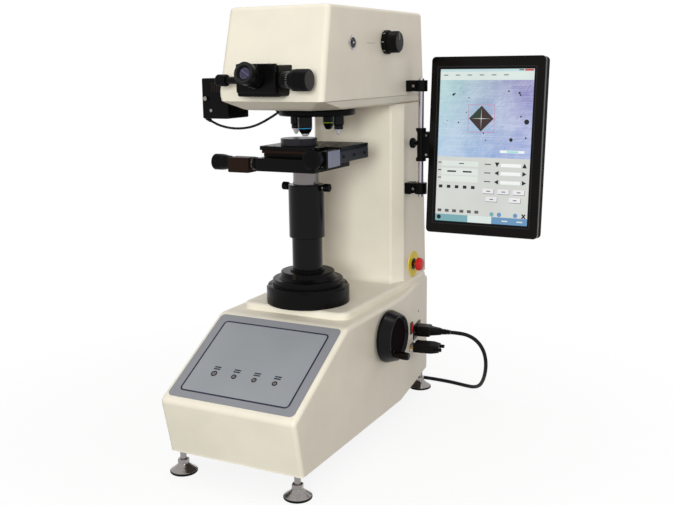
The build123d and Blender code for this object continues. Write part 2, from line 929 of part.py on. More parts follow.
# Lamp housing beside the head
with BuildPart() as lamp_housing:
    block((-145, -78, 540.5), (-96, -18, 604.5))
    fillet(lamp_housing.edges().filter_by(Axis.Y), 2.0)
    block((-97, -62, 540.6), (-66, -18, arm_bottom))
    turned((-136.7, -78, 572.5), (0, -1, 0), [(-1, 0), (-1, 3.5), (5, 3.5), (5, 0)])
    turned((-128.7, -78, 553.5), (0, -1, 0), [(-1, 0), (-1, 2.6), (1.2, 2.6), (1.2, 0)])
    rod((-140, -48, 572.4), (-1, 0, 0), 2.0 + running_gap, 6, Mode.SUBTRACT)
    gland_way = Vector(*lamp_lead_route[1]) - Vector(*lamp_lead_route[0])
    rod(lamp_lead_route[0], -gland_way, 2.9, 9)
lamp_housing.part.label = "lamp_housing"

with BuildPart() as lamp_knob:
    turned((-141, -48, 572.4), (-1, 0, 0), [(0, 0), (0, 2), (4.4, 2), (4.4, 3.4), (6, 4.2), (9, 4.2), (10.4, 3.2), (10.4, 0)])
lamp_knob.part.label = "lamp_knob"

mains_route = [
    (167.9, 235.73, 136.8),
    (184, 238.1, 136.7),
    (201, 240.9, 133.6),
    (216, 245, 123.5),
    (226, 250.5, 106),
    (228.5, 258.5, 83),
    (224, 270, 58),
    (215, 285, 36),
    (203, 302, 18),
    (187, 317, 7.2),
    (166, 328, 3.6),
    (138, 335, 3.6),
    (104, 338.5, 3.6),
    (68, 338.5, 3.6),
    (34, 338, 3.6),
    (coil_centre[0] + coil_lead_in, coil_centre[1] - coil_outer, 3.6),
]


def corner_radii(route):
    """The largest arc for each corner: 0.45 of its shorter run over the tangent of half the turn."""
    points = [Vector(*p) for p in route]
    radii = []
    for before, here, after in zip(points, points[1:], points[2:]):
        turn = math.radians((here - before).get_angle(after - here))
        run = min((here - before).length, (after - here).length)
        radii.append(0.45 * run / math.tan(turn / 2))
    return radii


def lead_tube(route, radius):
    """A tube along a route of straight runs joined by tangent arcs, with its length."""
    radii = corner_radii(route)
    path = FilletPolyline(*route, radius=radii, mode=Mode.PRIVATE)
    start = path @ 0
    with BuildPart() as tube:
        with BuildSketch(Plane(origin=start, z_dir=path % 0)):
            Circle(radius)
        sweep(path=path)
    return tube.part, path.length, radii


def coil_state(turns, total):
    """Centre-line point of the coil after a number of turns; it winds in, climbs and winds out."""
    half = total / 2
    inward = min(turns, total - turns)
    radius = coil_outer - coil_pitch * inward
    climb = min(max((turns - half + 0.25) / 0.5, 0.0), 1.0)
    angle = math.radians(-90.0) - 2 * math.pi * turns
    return Vector(
        coil_centre[0] + radius * math.cos(angle),
        coil_centre[1] + radius * math.sin(angle),
        3.6 + coil_climb * climb,
    )


lamp_lead_solid, lamp_lead_length, lamp_lead_radii = lead_tube(lamp_lead_route, lamp_lead_radius)
lamp_lead_solid.label = "lamp_lead"
power_lead_solid, power_lead_length, power_lead_radii = lead_tube(mains_route, mains_radius)
power_lead_solid.label = "power_lead"


def coil_path(total, steps_per_turn):
    """The coil's centre line as arcs of a quarter turn that meet tangentially in plan."""
    count = round(total * steps_per_turn)
    edges = []
    for i in range(count):
        first = coil_state(i / steps_per_turn, total)
        middle = coil_state((i + 0.5) / steps_per_turn, total)
        last = coil_state((i + 1) / steps_per_turn, total)
        edges.append(ThreePointArc(first, middle, last, mode=Mode.PRIVATE))
    return edges


def coil_gap(total):
    """The least gap between the coil and itself, measured on points an eighth of a turn apart."""
    per_turn = 32
    points = [coil_state(i / per_turn, total) for i in range(int(total * per_turn) + 1)]
    least = min(
        (points[i] - points[j]).length
        for i in range(len(points))
        for j in range(i + per_turn // 2, len(points))
    )
    return least - 2 * mains_radius


coil_turns = 6.0
coil_start = coil_state(0.0, coil_turns)
coil_end = coil_state(coil_turns, coil_turns)
coil_line = Wire([
    Line(coil_start + Vector(coil_lead_in, 0, 0), coil_start, mode=Mode.PRIVATE),
    *coil_path(coil_turns, 4),
    Line(coil_end, coil_end - Vector(coil_tail, 0, 0), mode=Mode.PRIVATE),
])
with BuildPart() as power_coil:
    with BuildSketch(Plane(origin=coil_line @ 0, z_dir=coil_line % 0)):
        Circle(mains_radius)
    sweep(path=coil_line)
power_coil.part.label = "power_coil"

print("lamp lead length", round(lamp_lead_length, 1), "radii", [round(r, 1) for r in lamp_lead_radii])
print("mains lead run", round(power_lead_length, 1), "radii", [round(r, 1) for r in power_lead_radii])
print("mains coil length", round(coil_line.length, 1), "self gap", round(coil_gap(coil_turns), 2))
print("mains lead in all", round(power_lead_length + coil_line.length, 1), "of", mains_lead)
print("lead volumes over section times length", [
    round(lamp_lead_solid.volume / (math.pi * lamp_lead_radius**2 * lamp_lead_length), 4),
    round(power_lead_solid.volume / (math.pi * mains_radius**2 * power_lead_length), 4),
    round(power_coil.part.volume / (math.pi * mains_radius**2 * coil_line.length), 4),
])

plug_z = coil_end.Z
with BuildPart() as mains_plug:
    end = (coil_end.X - coil_tail - 0.05, coil_end.Y, plug_z)
    turned(end, (-1, 0, 0), [(0, 0), (0, 4.2), (22, 6.5), (22, 0)])
    block((end[0] - 62, end[1] - 16, 0.2), (end[0] - 22, end[1] + 16, 2 * plug_z - 0.2))
    fillet(mains_plug.edges().filter_by(Axis.Z), 4.0)
    for shift in (-6.35, 6.35):
        block((end[0] - 79, end[1] + shift - 0.8, plug_z - 3.2), (end[0] - 61, end[1] + shift + 0.8, plug_z + 3.2))
    rod((end[0] - 61, end[1] - 11.5, plug_z), (-1, 0, 0), 2.4, 20)
mains_plug.part.label = "mains_plug"


with BuildPart() as rear_sockets:
    with BuildSketch(side_plane(inlet_place)):
        RectangleRounded(50, 27, 3)
    extrude(amount=2.0)
    with BuildSketch(side_plane(inlet_place, 2.0)):
        RectangleRounded(25, 17.5, 3)
    extrude(amount=1.0)
    with BuildSketch(side_plane(data_place)):
        RectangleRounded(39, 12.5, 2)
    extrude(amount=1.2)
    with BuildSketch(side_plane(data_place, 1.2)):
        RectangleRounded(17, 8.4, 2.5)
    extrude(amount=4.8)
    for shift in (-12.5, 12.5):
        with BuildSketch(side_plane((data_place[0] + shift, data_place[1]), 1.2)):
            RegularPolygon(2.8, 6)
        extrude(amount=4.8)
    with BuildSketch(side_plane(rocker_place)):
        RectangleRounded(15, 22, 1.5)
        RectangleRounded(12, 19, 1, mode=Mode.SUBTRACT)
    extrude(amount=1.5)
rear_sockets.part.label = "rear_sockets"

with BuildPart() as power_plug:
    with BuildSketch(side_plane(inlet_place, 3.0)):
        RectangleRounded(27.5, 19.5, 4)
    extrude(amount=24)
    with BuildSketch(side_plane(inlet_place, 27.0)):
        RectangleRounded(20, 16, 5)
    with BuildSketch(side_plane(inlet_place, 47.0)):
        RectangleRounded(13, 13, 6)
    loft()
    with BuildSketch(side_plane(inlet_place, 47.0)):
        Circle(6.0)
    with BuildSketch(side_plane(inlet_place, 65.0)):
        Circle(4.3)
    loft()
power_plug.part.label = "power_plug"

with BuildPart() as data_plug:
    with BuildSketch(side_plane(data_place, 6.0)):
        RectangleRounded(33, 15.5, 2)
    extrude(amount=46)
    for shift in (-12.5, 12.5):
        with BuildSketch(side_plane((data_place[0] + shift, data_place[1]), 52.0)):
            Circle(3.2)
        extrude(amount=6)
data_plug.part.label = "data_plug"

rocker_lean = math.radians(rocker_tilt)
rocker_plane = Plane(
    origin=side_plane(rocker_place).origin,
    x_dir=side_along,
    z_dir=side_normal * math.cos(rocker_lean) - Vector(0, 0, math.sin(rocker_lean)),
)
with BuildPart() as power_rocker:
    with BuildSketch(rocker_plane):
        RectangleRounded(10.8, 17.4, 1)
    extrude(amount=3.2)
    with BuildSketch(rocker_plane):
        Rectangle(10.8, 17.4)
    extrude(amount=-4.0)
power_rocker.part.label = "power_rocker"

# Emergency stop on the column's side
stop_y = 239.0
stop_z = 259.2
with BuildPart() as stop_base:
    turned(
        (column_half_width, stop_y, stop_z),
        (1, 0, 0),
        [(0, 4.06), (0, 23.4), (1.6, 23.4), (1.6, 11), (3, 8.8), (7.5, 8.8), (7.5, 4.06)],
    )
stop_base.part.label = "stop_base"

with BuildPart() as stop_button:
    turned(
        (column_half_width, stop_y, stop_z),
        (1, 0, 0),
        [(4.1, 0), (4.1, 4), (11.5, 4), (11.5, 9), (14, 12), (20, 12), (23.4, 10), (25.4, 6), (26, 0)],
    )
stop_button.part.label = "stop_button"

# Rod, its clamps and the display
clamp_spans = [(575.5, 594.8, 91.5), (395.0, 415.0, column_half_width)]
with BuildPart() as rod_clamps:
    for low, high, inner in clamp_spans:
        block((inner, rod_y - 14, low), (inner + 12, rod_y + 14, high))
        block((inner + 11, rod_y - 9, low + 1.5), (rod_x + 3, rod_y + 9, high - 1.5))
        rod((rod_x, rod_y, low), (0, 0, 1), 11.0, high - low)
        rod((rod_x, rod_y, low - 1), (0, 0, 1), rod_radius, high - low + 2, Mode.SUBTRACT)
    add(head_shape, mode=Mode.SUBTRACT)
rod_clamps.part.label = "rod_clamps"

with BuildPart() as display_rod:
    rod((rod_x, rod_y, 390), (0, 0, 1), rod_radius, 208)
    chamfer(display_rod.edges().filter_by(GeomType.CIRCLE), 0.8)
display_rod.part.label = "display_rod"

slider_bottom = 453.6
slider_top = 512.0
with BuildPart() as display_slider:
    turned(
        (rod_x, rod_y, slider_bottom),
        (0, 0, 1),
        [
            (0, rod_radius + running_gap),
            (0, 9.0),
            (6.0, 9.0),
            (6.0, 7.0),
            (slider_top - slider_bottom - 6, 7.0),
            (slider_top - slider_bottom - 6, 9.0),
            (slider_top - slider_bottom, 9.0),
            (slider_top - slider_bottom, rod_radius + running_gap),
        ],
    )
    rod((rod_x - 5.6, rod_y, display_z + 1.5), (-1, 0, 0), 3.2, 4.4)
    rod((rod_x, rod_y, slider_bottom - 1), (0, 0, 1), rod_radius + running_gap, 80, Mode.SUBTRACT)
    rod((rod_x, rod_y, display_z + 1.5), (-1, 0, 0), 2.0 + running_gap, 20, Mode.SUBTRACT)
display_slider.part.label = "display_slider"

with BuildPart() as slider_knob:
    turned(
        (rod_x - 5.4, rod_y, display_z + 1.5),
        (-1, 0, 0),
        [(0, 0), (0, 2), (4.9, 2), (4.9, 6.5), (7, 9), (13, 9), (14, 8), (14, 0)],
    )
slider_knob.part.label = "slider_knob"

hinge_y = 210.0
with BuildPart() as display_bracket:
    turned(
        (rod_x, rod_y, slider_bottom + 6.2),
        (0, 0, 1),
        [(0, 7.06), (0, 9.0), (slider_top - slider_bottom - 12.4, 9.0), (slider_top - slider_bottom - 12.4, 7.06)],
    )
    block((rod_x - 12, rod_y - 20, slider_bottom), (rod_x - 1.0, rod_y + 20, slider_top), Mode.SUBTRACT)
    block((rod_x + 7.6, hinge_y - 9, slider_bottom + 6.2), (rod_x + 20.4, hinge_y + 11, slider_top - 6.2))
    rod((rod_x + 20, hinge_y, display_z), (1, 0, 0), 4.0, 14)
display_bracket.part.label = "display_bracket"

tilt = math.radians(display_tilt)
display_front = Plane(
    origin=(display_x, display_y, display_z),
    x_dir=(1, 0, 0),
    z_dir=(0, -math.cos(tilt), math.sin(tilt)),
)
bezel_thick = 9.0
with BuildPart() as display_bezel:
    with BuildSketch(display_front):
        RectangleRounded(display_width, display_height, 7)
        with Locations((-1.0, 0)):
            Rectangle(window_width, window_height, mode=Mode.SUBTRACT)
    extrude(amount=-bezel_thick)
display_bezel.part.label = "display_bezel"

with BuildPart() as display_screen:
    with BuildSketch(display_front.offset(-3.0)):
        with Locations((-1.0, 0)):
            Rectangle(window_width, window_height)
    extrude(amount=bezel_thick - 3.0, dir=-display_front.z_dir)
display_screen.part.label = "display_screen"

with BuildPart() as display_back:
    with BuildSketch(display_front.offset(-bezel_thick)):
        RectangleRounded(display_width, display_height, 7)
    extrude(amount=display_depth - bezel_thick, dir=-display_front.z_dir)
    chamfer(display_back.faces().sort_by(Axis.Y)[-1].edges(), 5.0)
    with BuildSketch(display_front.offset(-bezel_thick)):
        Rectangle(display_width - 44, display_height - 12)
    extrude(amount=display_depth - bezel_thick - 3.0, dir=-display_front.z_dir, mode=Mode.SUBTRACT)
    rod((rod_x + 15, hinge_y, display_z), (1, 0, 0), 4.0 + running_gap, 22, Mode.SUBTRACT)
display_back.part.label = "display_back"

# Levelling feet
foot_parts = {}
for name, (x, y) in foot_places.items():
    with BuildPart() as foot:
        turned(
            (x, y, 0),
            (0, 0, 1),
            [(0, 0), (0, 20.5), (1, 21.6), (3.2, 21.6), (4.4, 20.2), (14, 8.6), (15.5, 8.0), (15.5, 0)],
        )
        with BuildSketch(Plane.XY.offset(15)):
            with Locations((x, y)):
                RegularPolygon(8.0, 6, major_radius=False)
        extrude(amount=7)
        rod((x, y, 20), (0, 0, 1), stud_radius, 54)
    foot.part.label = f"foot_{name}"
    foot_parts[name] = foot.part

# Electronics in the base
with BuildPart() as electronics:
    block((-95, -214, floor_z + 8), (95, -74, floor_z + 10))
    block((-80, -190, floor_z + 10), (-30, -150, floor_z + 34))
    block((10, -200, floor_z + 10), (70, -120, floor_z + 22))
    for x in (-88, 88):
        for y in (-206, -82):
            rod((x, y, floor_z), (0, 0, 1), 4.0, 8.5)
    block((-92, 96, floor_z), (-12, 236, floor_z + 48))
electronics.part.label = "electronics"

pieces = [
    base_housing.part,
    bottom_plate.part,
    column_housing.part,
    arm_casting.part,
    head_cover.part,
    rear_cover.part,
    panel_overlay.part,
    indicator_lamps.part,
    column_flange.part,
    upper_sleeve.part,
    elevating_screw.part,
    nut_gear.part,
    wheel_shaft.part,
    handwheel.part,
    crank_grip.part,
    thumb_screws["left"],
    thumb_screws["right"],
    stage_base.part,
    x_drive_housing.part,
    x_knob.part,
    x_slide.part,
    stage_top.part,
    anvil.part,
    y_knob.part,
    turret_disc.part,
    objective_long.part,
    objective_short.part,
    indenters.part,
    load_selector.part,
    loading_lever.part,
    eyepiece_housing.part,
    eyepiece_tube.part,
    eyecup.part,
    measuring_drum.part,
    reticle_knob.part,
    lamp_housing.part,
    lamp_knob.part,
    lamp_lead_solid,
    rear_sockets.part,
    power_plug.part,
    power_lead_solid,
    power_coil.part,
    mains_plug.part,
    data_plug.part,
    power_rocker.part,
    stop_base.part,
    stop_button.part,
    rod_clamps.part,
    display_rod.part,
    display_slider.part,
    slider_knob.part,
    display_bracket.part,
    display_back.part,
    display_bezel.part,
    display_screen.part,
    *foot_parts.values(),
    electronics.part,
]
print(len(pieces), "pieces")
for piece in pieces:
    export_step(piece, f"parts/{piece.label}.step")
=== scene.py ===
"""Dressed model of a low-load microhardness tester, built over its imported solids.

Sizes are in millimetres in the machine's own frame: the origin lies on the table below the
elevating screw, +X is the operator's right, -Y the front and +Z up. Pieces are published in metres.
"""

import logging
import math
from dataclasses import dataclass, field
from enum import Enum
from typing import Any, Optional, Sequence

import bmesh
import bpy
from mathutils import Matrix, Vector


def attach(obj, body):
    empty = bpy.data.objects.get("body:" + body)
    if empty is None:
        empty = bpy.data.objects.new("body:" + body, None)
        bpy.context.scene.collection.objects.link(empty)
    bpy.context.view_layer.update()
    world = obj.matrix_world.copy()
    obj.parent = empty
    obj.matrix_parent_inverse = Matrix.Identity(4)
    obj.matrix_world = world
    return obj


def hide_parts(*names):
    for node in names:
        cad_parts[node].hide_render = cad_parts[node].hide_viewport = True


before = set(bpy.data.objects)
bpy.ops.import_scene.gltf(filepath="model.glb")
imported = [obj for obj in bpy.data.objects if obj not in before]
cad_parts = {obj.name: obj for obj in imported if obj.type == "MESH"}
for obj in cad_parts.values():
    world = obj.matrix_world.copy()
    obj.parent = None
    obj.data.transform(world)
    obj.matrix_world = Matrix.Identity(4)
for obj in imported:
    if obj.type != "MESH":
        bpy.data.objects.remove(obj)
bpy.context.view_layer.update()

LOG = logging.getLogger("tester")
MM = 0.001
SHARP_FROM = math.radians(38)
Pair = tuple[float, float]
Triple = tuple[float, float, float]
Colour = tuple[float, float, float, float]
Point = Triple | Vector
Sockets = dict[str, tuple[str, Any]]

RIGHT: Triple = (1, 0, 0)
LEFT: Triple = (-1, 0, 0)
FRONT: Triple = (0, -1, 0)
REAR: Triple = (0, 1, 0)
UP: Triple = (0, 0, 1)
DOWN: Triple = (0, 0, -1)
BOTH_WAYS: Triple = (1, 1, 0)


def srgb(red: int, green: int, blue: int) -> Colour:
    """Turns a colour picker's figures into a linear colour.

    Args:
        red: The red figure, 0 to 255.
        green: The green figure.
        blue: The blue figure.

    Returns:
        The linear colour with full alpha.
    """
    parts = []
    for figure in (red, green, blue):
        share = figure / 255
        parts.append(share / 12.92 if share <= 0.04045 else ((share + 0.055) / 1.055) ** 2.4)
    return (parts[0], parts[1], parts[2], 1.0)


# Node trees


@dataclass(frozen=True)
class Value:
    """A socket of a node tree that Python's operators work on."""

    tree: "Tree"
    socket: Optional[bpy.types.NodeSocket]

    def _math(self, operation: str, first: "Value | float", second: "Value | float" = 0.0) -> "Value":
        """Adds a Math node over one or two numbers."""
        return self.tree.add("ShaderNodeMath", {"operation": operation}, {0: first, 1: second})

    def __add__(self, other: "Value | float") -> "Value":
        """Adds a number."""
        return self._math("ADD", self, other)

    def __radd__(self, other: float) -> "Value":
        """Adds to a number."""
        return self._math("ADD", other, self)

    def __sub__(self, other: "Value | float") -> "Value":
        """Takes a number away."""
        return self._math("SUBTRACT", self, other)

    def __rsub__(self, other: float) -> "Value":
        """Takes this from a number."""
        return self._math("SUBTRACT", other, self)

    def __mul__(self, other: "Value | float") -> "Value":
        """Multiplies by a number."""
        return self._math("MULTIPLY", self, other)

    def __rmul__(self, other: float) -> "Value":
        """Multiplies a number."""
        return self._math("MULTIPLY", other, self)

    def __truediv__(self, other: "Value | float") -> "Value":
        """Divides by a number."""
        return self._math("DIVIDE", self, other)

    def __rtruediv__(self, other: float) -> "Value":
        """Divides a number."""
        return self._math("DIVIDE", other, self)

    def most(self, other: "Value | float") -> "Value":
        """Gives the larger of two numbers."""
        return self._math("MAXIMUM", self, other)

    def size(self) -> "Value":
        """Gives the number without its sign."""
        return self._math("ABSOLUTE", self)

    def ramp(self, low: float, high: float, start: float = 0.0, end: float = 1.0) -> "Value":
        """Maps a range of the number onto another from start to end, held at its ends."""
        sockets = {0: self, 1: low, 2: high, 3: start, 4: end}
        return self.tree.add("ShaderNodeMapRange", {"clamp": True}, sockets)


@dataclass(frozen=True)
class Tree:
    """A node tree, for a shader or for geometry, with one method that adds its nodes."""

    nodes: Any
    links: Any

    @classmethod
    def of(cls, owner: Any) -> "Tree":
        """Empties a shader tree and wraps it.

        Args:
            owner: The material or the world.

        Returns:
            Its tree.
        """
        owner.use_nodes = True
        owner.node_tree.nodes.clear()
        return cls(owner.node_tree.nodes, owner.node_tree.links)

    def add(
        self, kind: str, settings: Optional[dict[str, Any]] = None,
        sockets: Optional[dict[Any, Any]] = None, output: "int | str" = 0,
    ) -> Value:
        """Adds a node.

        Args:
            kind: The node's type.
            settings: Its own settings, set first.
            sockets: Values or links of its input sockets.
            output: Which of its outputs is wanted.

        Returns:
            That output, or nothing behind a node that ends the tree.
        """
        node = self.nodes.new(kind)
        for name, setting in (settings or {}).items():
            setattr(node, name, setting)
        for key, value in (sockets or {}).items():
            if isinstance(value, Value):
                self.links.new(value.socket, node.inputs[key])
            else:
                node.inputs[key].default_value = value
        return Value(self, node.outputs[output] if len(node.outputs) else None)

    def mix(self, factor: "Value | float", first: "Value | Colour", second: "Value | Colour") -> Value:
        """Blends two colours by the second one's share."""
        sockets = {0: factor, 6: first, 7: second}
        return self.add("ShaderNodeMix", {"data_type": "RGBA"}, sockets, 2)

    def place(self) -> Value:
        """Gives the point's place on the machine in millimetres."""
        here = self.add("ShaderNodeTexCoord", {}, {}, "Object")
        return self.vector("SCALE", here, Scale=1 / MM)

    def vector(self, operation: str, first: "Value | Triple", second: Any = None, **named: Any) -> Value:
        """Adds a Vector Math node.

        Args:
            operation: The node's operation.
            first: Its first vector.
            second: Its second vector, if it has one.
            **named: Any socket by its name.

        Returns:
            The vector, or the number for a dot product or a length.
        """
        sockets: dict[Any, Any] = {0: first, **named}
        if second is not None:
            sockets[1] = second
        output = "Value" if operation in ("DOT_PRODUCT", "LENGTH") else "Vector"
        return self.add("ShaderNodeVectorMath", {"operation": operation}, sockets, output)

    def noise(self, where: Value, grain: float, detail: float = 2.0, stretch: Triple = (1, 1, 1)) -> Value:
        """Adds a noise whose spots have a real size in millimetres, drawn out along each axis."""
        scaled = self.vector("DIVIDE", where, tuple(grain * s for s in stretch))
        return self.add("ShaderNodeTexNoise", {}, {"Vector": scaled, "Scale": 1.0, "Detail": detail}, "Fac")

    def bump(self, height: Value, depth: float) -> Value:
        """Turns a height of 0 to 1 into a normal, with the depth in millimetres."""
        return self.add("ShaderNodeBump", {}, {"Height": height, "Distance": depth * MM}, "Normal")

    def surface(self, varied: dict[str, Value], fixed: dict[str, Any]) -> Value:
        """Adds the shader, from what varies over the surface and what is the same everywhere."""
        return self.add("ShaderNodeBsdfPrincipled", {}, {**fixed, **varied})


# Finishes


def toned(colour: Colour, share: float, lift: float = 0.0) -> Colour:
    """Gives a colour made deeper or paler, held to full brightness."""
    return tuple(min(c * share + lift, 1.0) for c in colour[:3]) + (1.0,)


class Grain(Enum):
    """How a metal's surface was worked."""

    TURNED = "turned"
    GROUND = "ground"
    BLASTED = "blasted"


@dataclass(frozen=True)
class Finish:
    """What a surface is made of; its material is made once and shared."""

    name: str

    def material(self) -> bpy.types.Material:
        """Gives the finish's material, making it the first time.

        Returns:
            The material.
        """
        name = f"finish_{self.name}"
        found = bpy.data.materials.get(name)
        if found is None:
            found = bpy.data.materials.new(name)
            tree = Tree.of(found)
            tree.add("ShaderNodeOutputMaterial", {}, {"Surface": self.shade(tree)})
        return found

    def shade(self, tree: Tree) -> Value:
        """Makes the finish's shader in the material's tree."""
        raise NotImplementedError


@dataclass(frozen=True)
class Paint(Finish):
    """Sprayed enamel or lacquer, with orange peel and a tone that drifts a little."""

    colour: Colour
    roughness: float = 0.42
    peel: float = 0.02
    grain: float = 1.3
    tone: float = 0.03
    gloss: float = 0.5

    def shade(self, tree: Tree) -> Value:
        """Makes the shader; its tone drifts over the panels and its peel is fine.

        Args:
            tree: The material's tree.

        Returns:
            The shader.
        """
        where = tree.place()
        drift = tree.noise(where, 70.0, 3.0)
        speck = tree.noise(where, 2.2, 2.0)
        paler, deeper = (toned(self.colour, 1 + 2 * way * self.tone) for way in (1, -1))
        colour = tree.mix(drift.ramp(0.3, 0.7), deeper, paler)
        rough = self.roughness + (drift - 0.5) * 0.12 + (speck - 0.5) * 0.08
        normal = tree.bump(tree.noise(where, self.grain, 2.0), self.peel)
        varied = {"Base Color": colour, "Roughness": rough, "Normal": normal}
        return tree.surface(varied, {"Specular IOR Level": self.gloss})


@dataclass(frozen=True)
class Metal(Finish):
    """Bare or anodised metal with the marks of how it was worked."""

    colour: Colour
    roughness: float = 0.3
    grain: Grain = Grain.GROUND
    axis: Triple = UP
    centre: Triple = (0, 0, 0)
    bright: float = 1.0
    gloss: float = 0.5

    def _marks(self, tree: Tree, where: Value) -> Value:
        """Gives the worked marks.

        Args:
            tree: The material's tree.
            where: The place in millimetres.

        Returns:
            A pattern of 0 to 1.
        """
        if self.grain is Grain.BLASTED:
            return tree.noise(where, 0.35, 2.0)
        if self.grain is Grain.GROUND:
            stretch = tuple(40.0 if abs(a) > 0.5 else 1.0 for a in self.axis)
            return tree.noise(where, 0.35, 3.0, stretch)
        offset = tree.vector("SUBTRACT", where, self.centre)
        along = tree.vector("DOT_PRODUCT", offset, self.axis)
        axial = tree.vector("SCALE", self.axis, Scale=along)
        outward = tree.vector("LENGTH", tree.vector("SUBTRACT", offset, axial))
        rings = tree.add("ShaderNodeCombineXYZ", {}, {0: along, 1: outward, 2: 0.0})
        return tree.noise(rings, 0.3, 2.0)

    def shade(self, tree: Tree) -> Value:
        """Makes the shader; the marks turn up in its colour, its roughness and its relief.

        Args:
            tree: The material's tree.

        Returns:
            The shader.
        """
        where = tree.place()
        marks = self._marks(tree, where)
        smear = tree.noise(where, 9.0, 3.0)
        colour = tree.mix(marks.ramp(0.3, 0.75), toned(self.colour, 0.82), self.colour)
        rough = self.roughness + (marks - 0.5) * 0.14 + (smear - 0.5) * 0.16
        normal = tree.bump(marks, 0.002)
        varied = {"Base Color": colour, "Roughness": rough, "Normal": normal}
        return tree.surface(varied, {"Metallic": self.bright, "Specular IOR Level": self.gloss})


@dataclass(frozen=True)
class Moulding(Finish):
    """Moulded plastic or rubber with a fine tooled grain."""

    colour: Colour
    roughness: float = 0.5
    grain: float = 0.5
    relief: float = 0.015
    gloss: float = 0.35

    def shade(self, tree: Tree) -> Value:
        """Makes the shader; handling polishes some of it and dust dulls the rest.

        Args:
            tree: The material's tree.

        Returns:
            The shader.
        """
        where = tree.place()
        handled = tree.noise(where, 14.0, 3.0)
        tooled = tree.noise(where, self.grain, 2.0)
        dusty = toned(self.colour, 0.92, 0.0015)
        colour = tree.mix(handled.ramp(0.35, 0.7), self.colour, dusty)
        rough = self.roughness + (handled - 0.5) * 0.2 + (tooled - 0.5) * 0.06
        varied = {"Base Color": colour, "Roughness": rough, "Normal": tree.bump(tooled, self.relief)}
        return tree.surface(varied, {"Specular IOR Level": self.gloss})


@dataclass(frozen=True)
class Lens(Finish):
    """A coated lens or a lamp's clear cap over something dark, with its reflection painted into its colour.
    """

    deep: Colour
    glint: Colour
    centre: Triple = (0, 0, 0)
    radius: float = 4.0

    def shade(self, tree: Tree) -> Value:
        """Makes the shader; a paler rim and a faint streak are painted reflection on the glass.

        Args:
            tree: The material's tree.

        Returns:
            The shader.
        """
        where = tree.place()
        offset = tree.vector("SUBTRACT", where, self.centre)
        outward = tree.vector("LENGTH", offset) / self.radius
        # painted highlight: a fixed streak and a paler rim stand in for the glass's reflections
        streak = tree.vector("DOT_PRODUCT", offset, (0.5, 0.0, 0.87)) / self.radius
        share = outward.ramp(0.3, 1.1, 0.0, 0.12) + (streak - 0.15).size().ramp(0.0, 0.12, 0.5, 0.0)
        colour = tree.mix(share.ramp(0.0, 1.0), self.deep, self.glint)
        rough = tree.noise(where, 3.0).ramp(0.0, 1.0, 0.04, 0.1)
        varied = {"Base Color": colour, "Roughness": rough}
        return tree.surface(varied, {"Specular IOR Level": 0.4, "Coat Weight": 0.3, "Coat Roughness": 0.03})


@dataclass(frozen=True)
class Lit(Finish):
    """A lit area of the display, behind its dark glass."""

    colour: Colour
    strength: float = 0.98
    reflects: float = 0.02

    def glow(self, tree: Tree, where: Value) -> Value:
        """Makes the light's colour; it is a little uneven, as a backlight is."""
        uneven = tree.noise(where, 60.0).ramp(0.3, 0.7)
        return tree.mix(uneven, toned(self.colour, 0.93), self.colour)

    def shade(self, tree: Tree) -> Value:
        """Makes the shader; the dark glass in front hardly reflects.

        Args:
            tree: The material's tree.

        Returns:
            The shader.
        """
        where = tree.place()
        rough = tree.noise(where, 12.0).ramp(0.0, 1.0, 0.25, 0.4)
        varied = {"Emission Color": self.glow(tree, where), "Roughness": rough}
        dark = (self.reflects, self.reflects, self.reflects, 1.0)
        fixed = {"Base Color": dark, "Emission Strength": self.strength, "Specular IOR Level": 0.1}
        return tree.surface(varied, fixed)


@dataclass(frozen=True)
class Micrograph(Lit):
    """The polished section under the microscope, with its fine scratches, as the display shows it."""

    paler: Colour = srgb(236, 242, 250)
    far: Colour = srgb(132, 124, 184)
    low: Colour = srgb(140, 172, 226)

    def glow(self, tree: Tree, where: Value) -> Value:
        """Makes the picture; it is bluer to the right and below, and long scratches cross it.

        Args:
            tree: The material's tree.
            where: The place in millimetres.

        Returns:
            The colour.
        """
        across, height = (tree.vector("DOT_PRODUCT", where, axis) for axis in (RIGHT, UP))
        side = across.ramp(160.0, 300.0)
        below = height.ramp(470.0, 585.0, 1.0, 0.0)
        cloud = tree.noise(where, 45.0, 3.0).ramp(0.3, 0.7)
        level = tree.noise(where, 0.9, 2.0, (60.0, 1.0, 1.0)).ramp(0.5, 0.72)
        turned = {"Vector": where, "Angle": 0.9}
        slant = tree.add("ShaderNodeVectorRotate", {"rotation_type": "Y_AXIS"}, turned)
        slanted = tree.noise(slant, 0.8, 2.0, (70.0, 1.0, 1.0)).ramp(0.5, 0.72)
        ground = tree.mix(side, self.colour, self.far)
        ground = tree.mix(below * 0.6, ground, self.low)
        return tree.mix(cloud * 0.3 + level * 0.25 + slanted * 0.25, ground, self.paler)


# Mesh making


def placed(name: str, data: Any) -> bpy.types.Object:
    """Makes an object of some data and puts it in the scene.

    Args:
        name: The object's name.
        data: Its mesh, curve, camera or lamp.

    Returns:
        The object.
    """
    made = bpy.data.objects.new(name, data)
    bpy.context.scene.collection.objects.link(made)
    return made


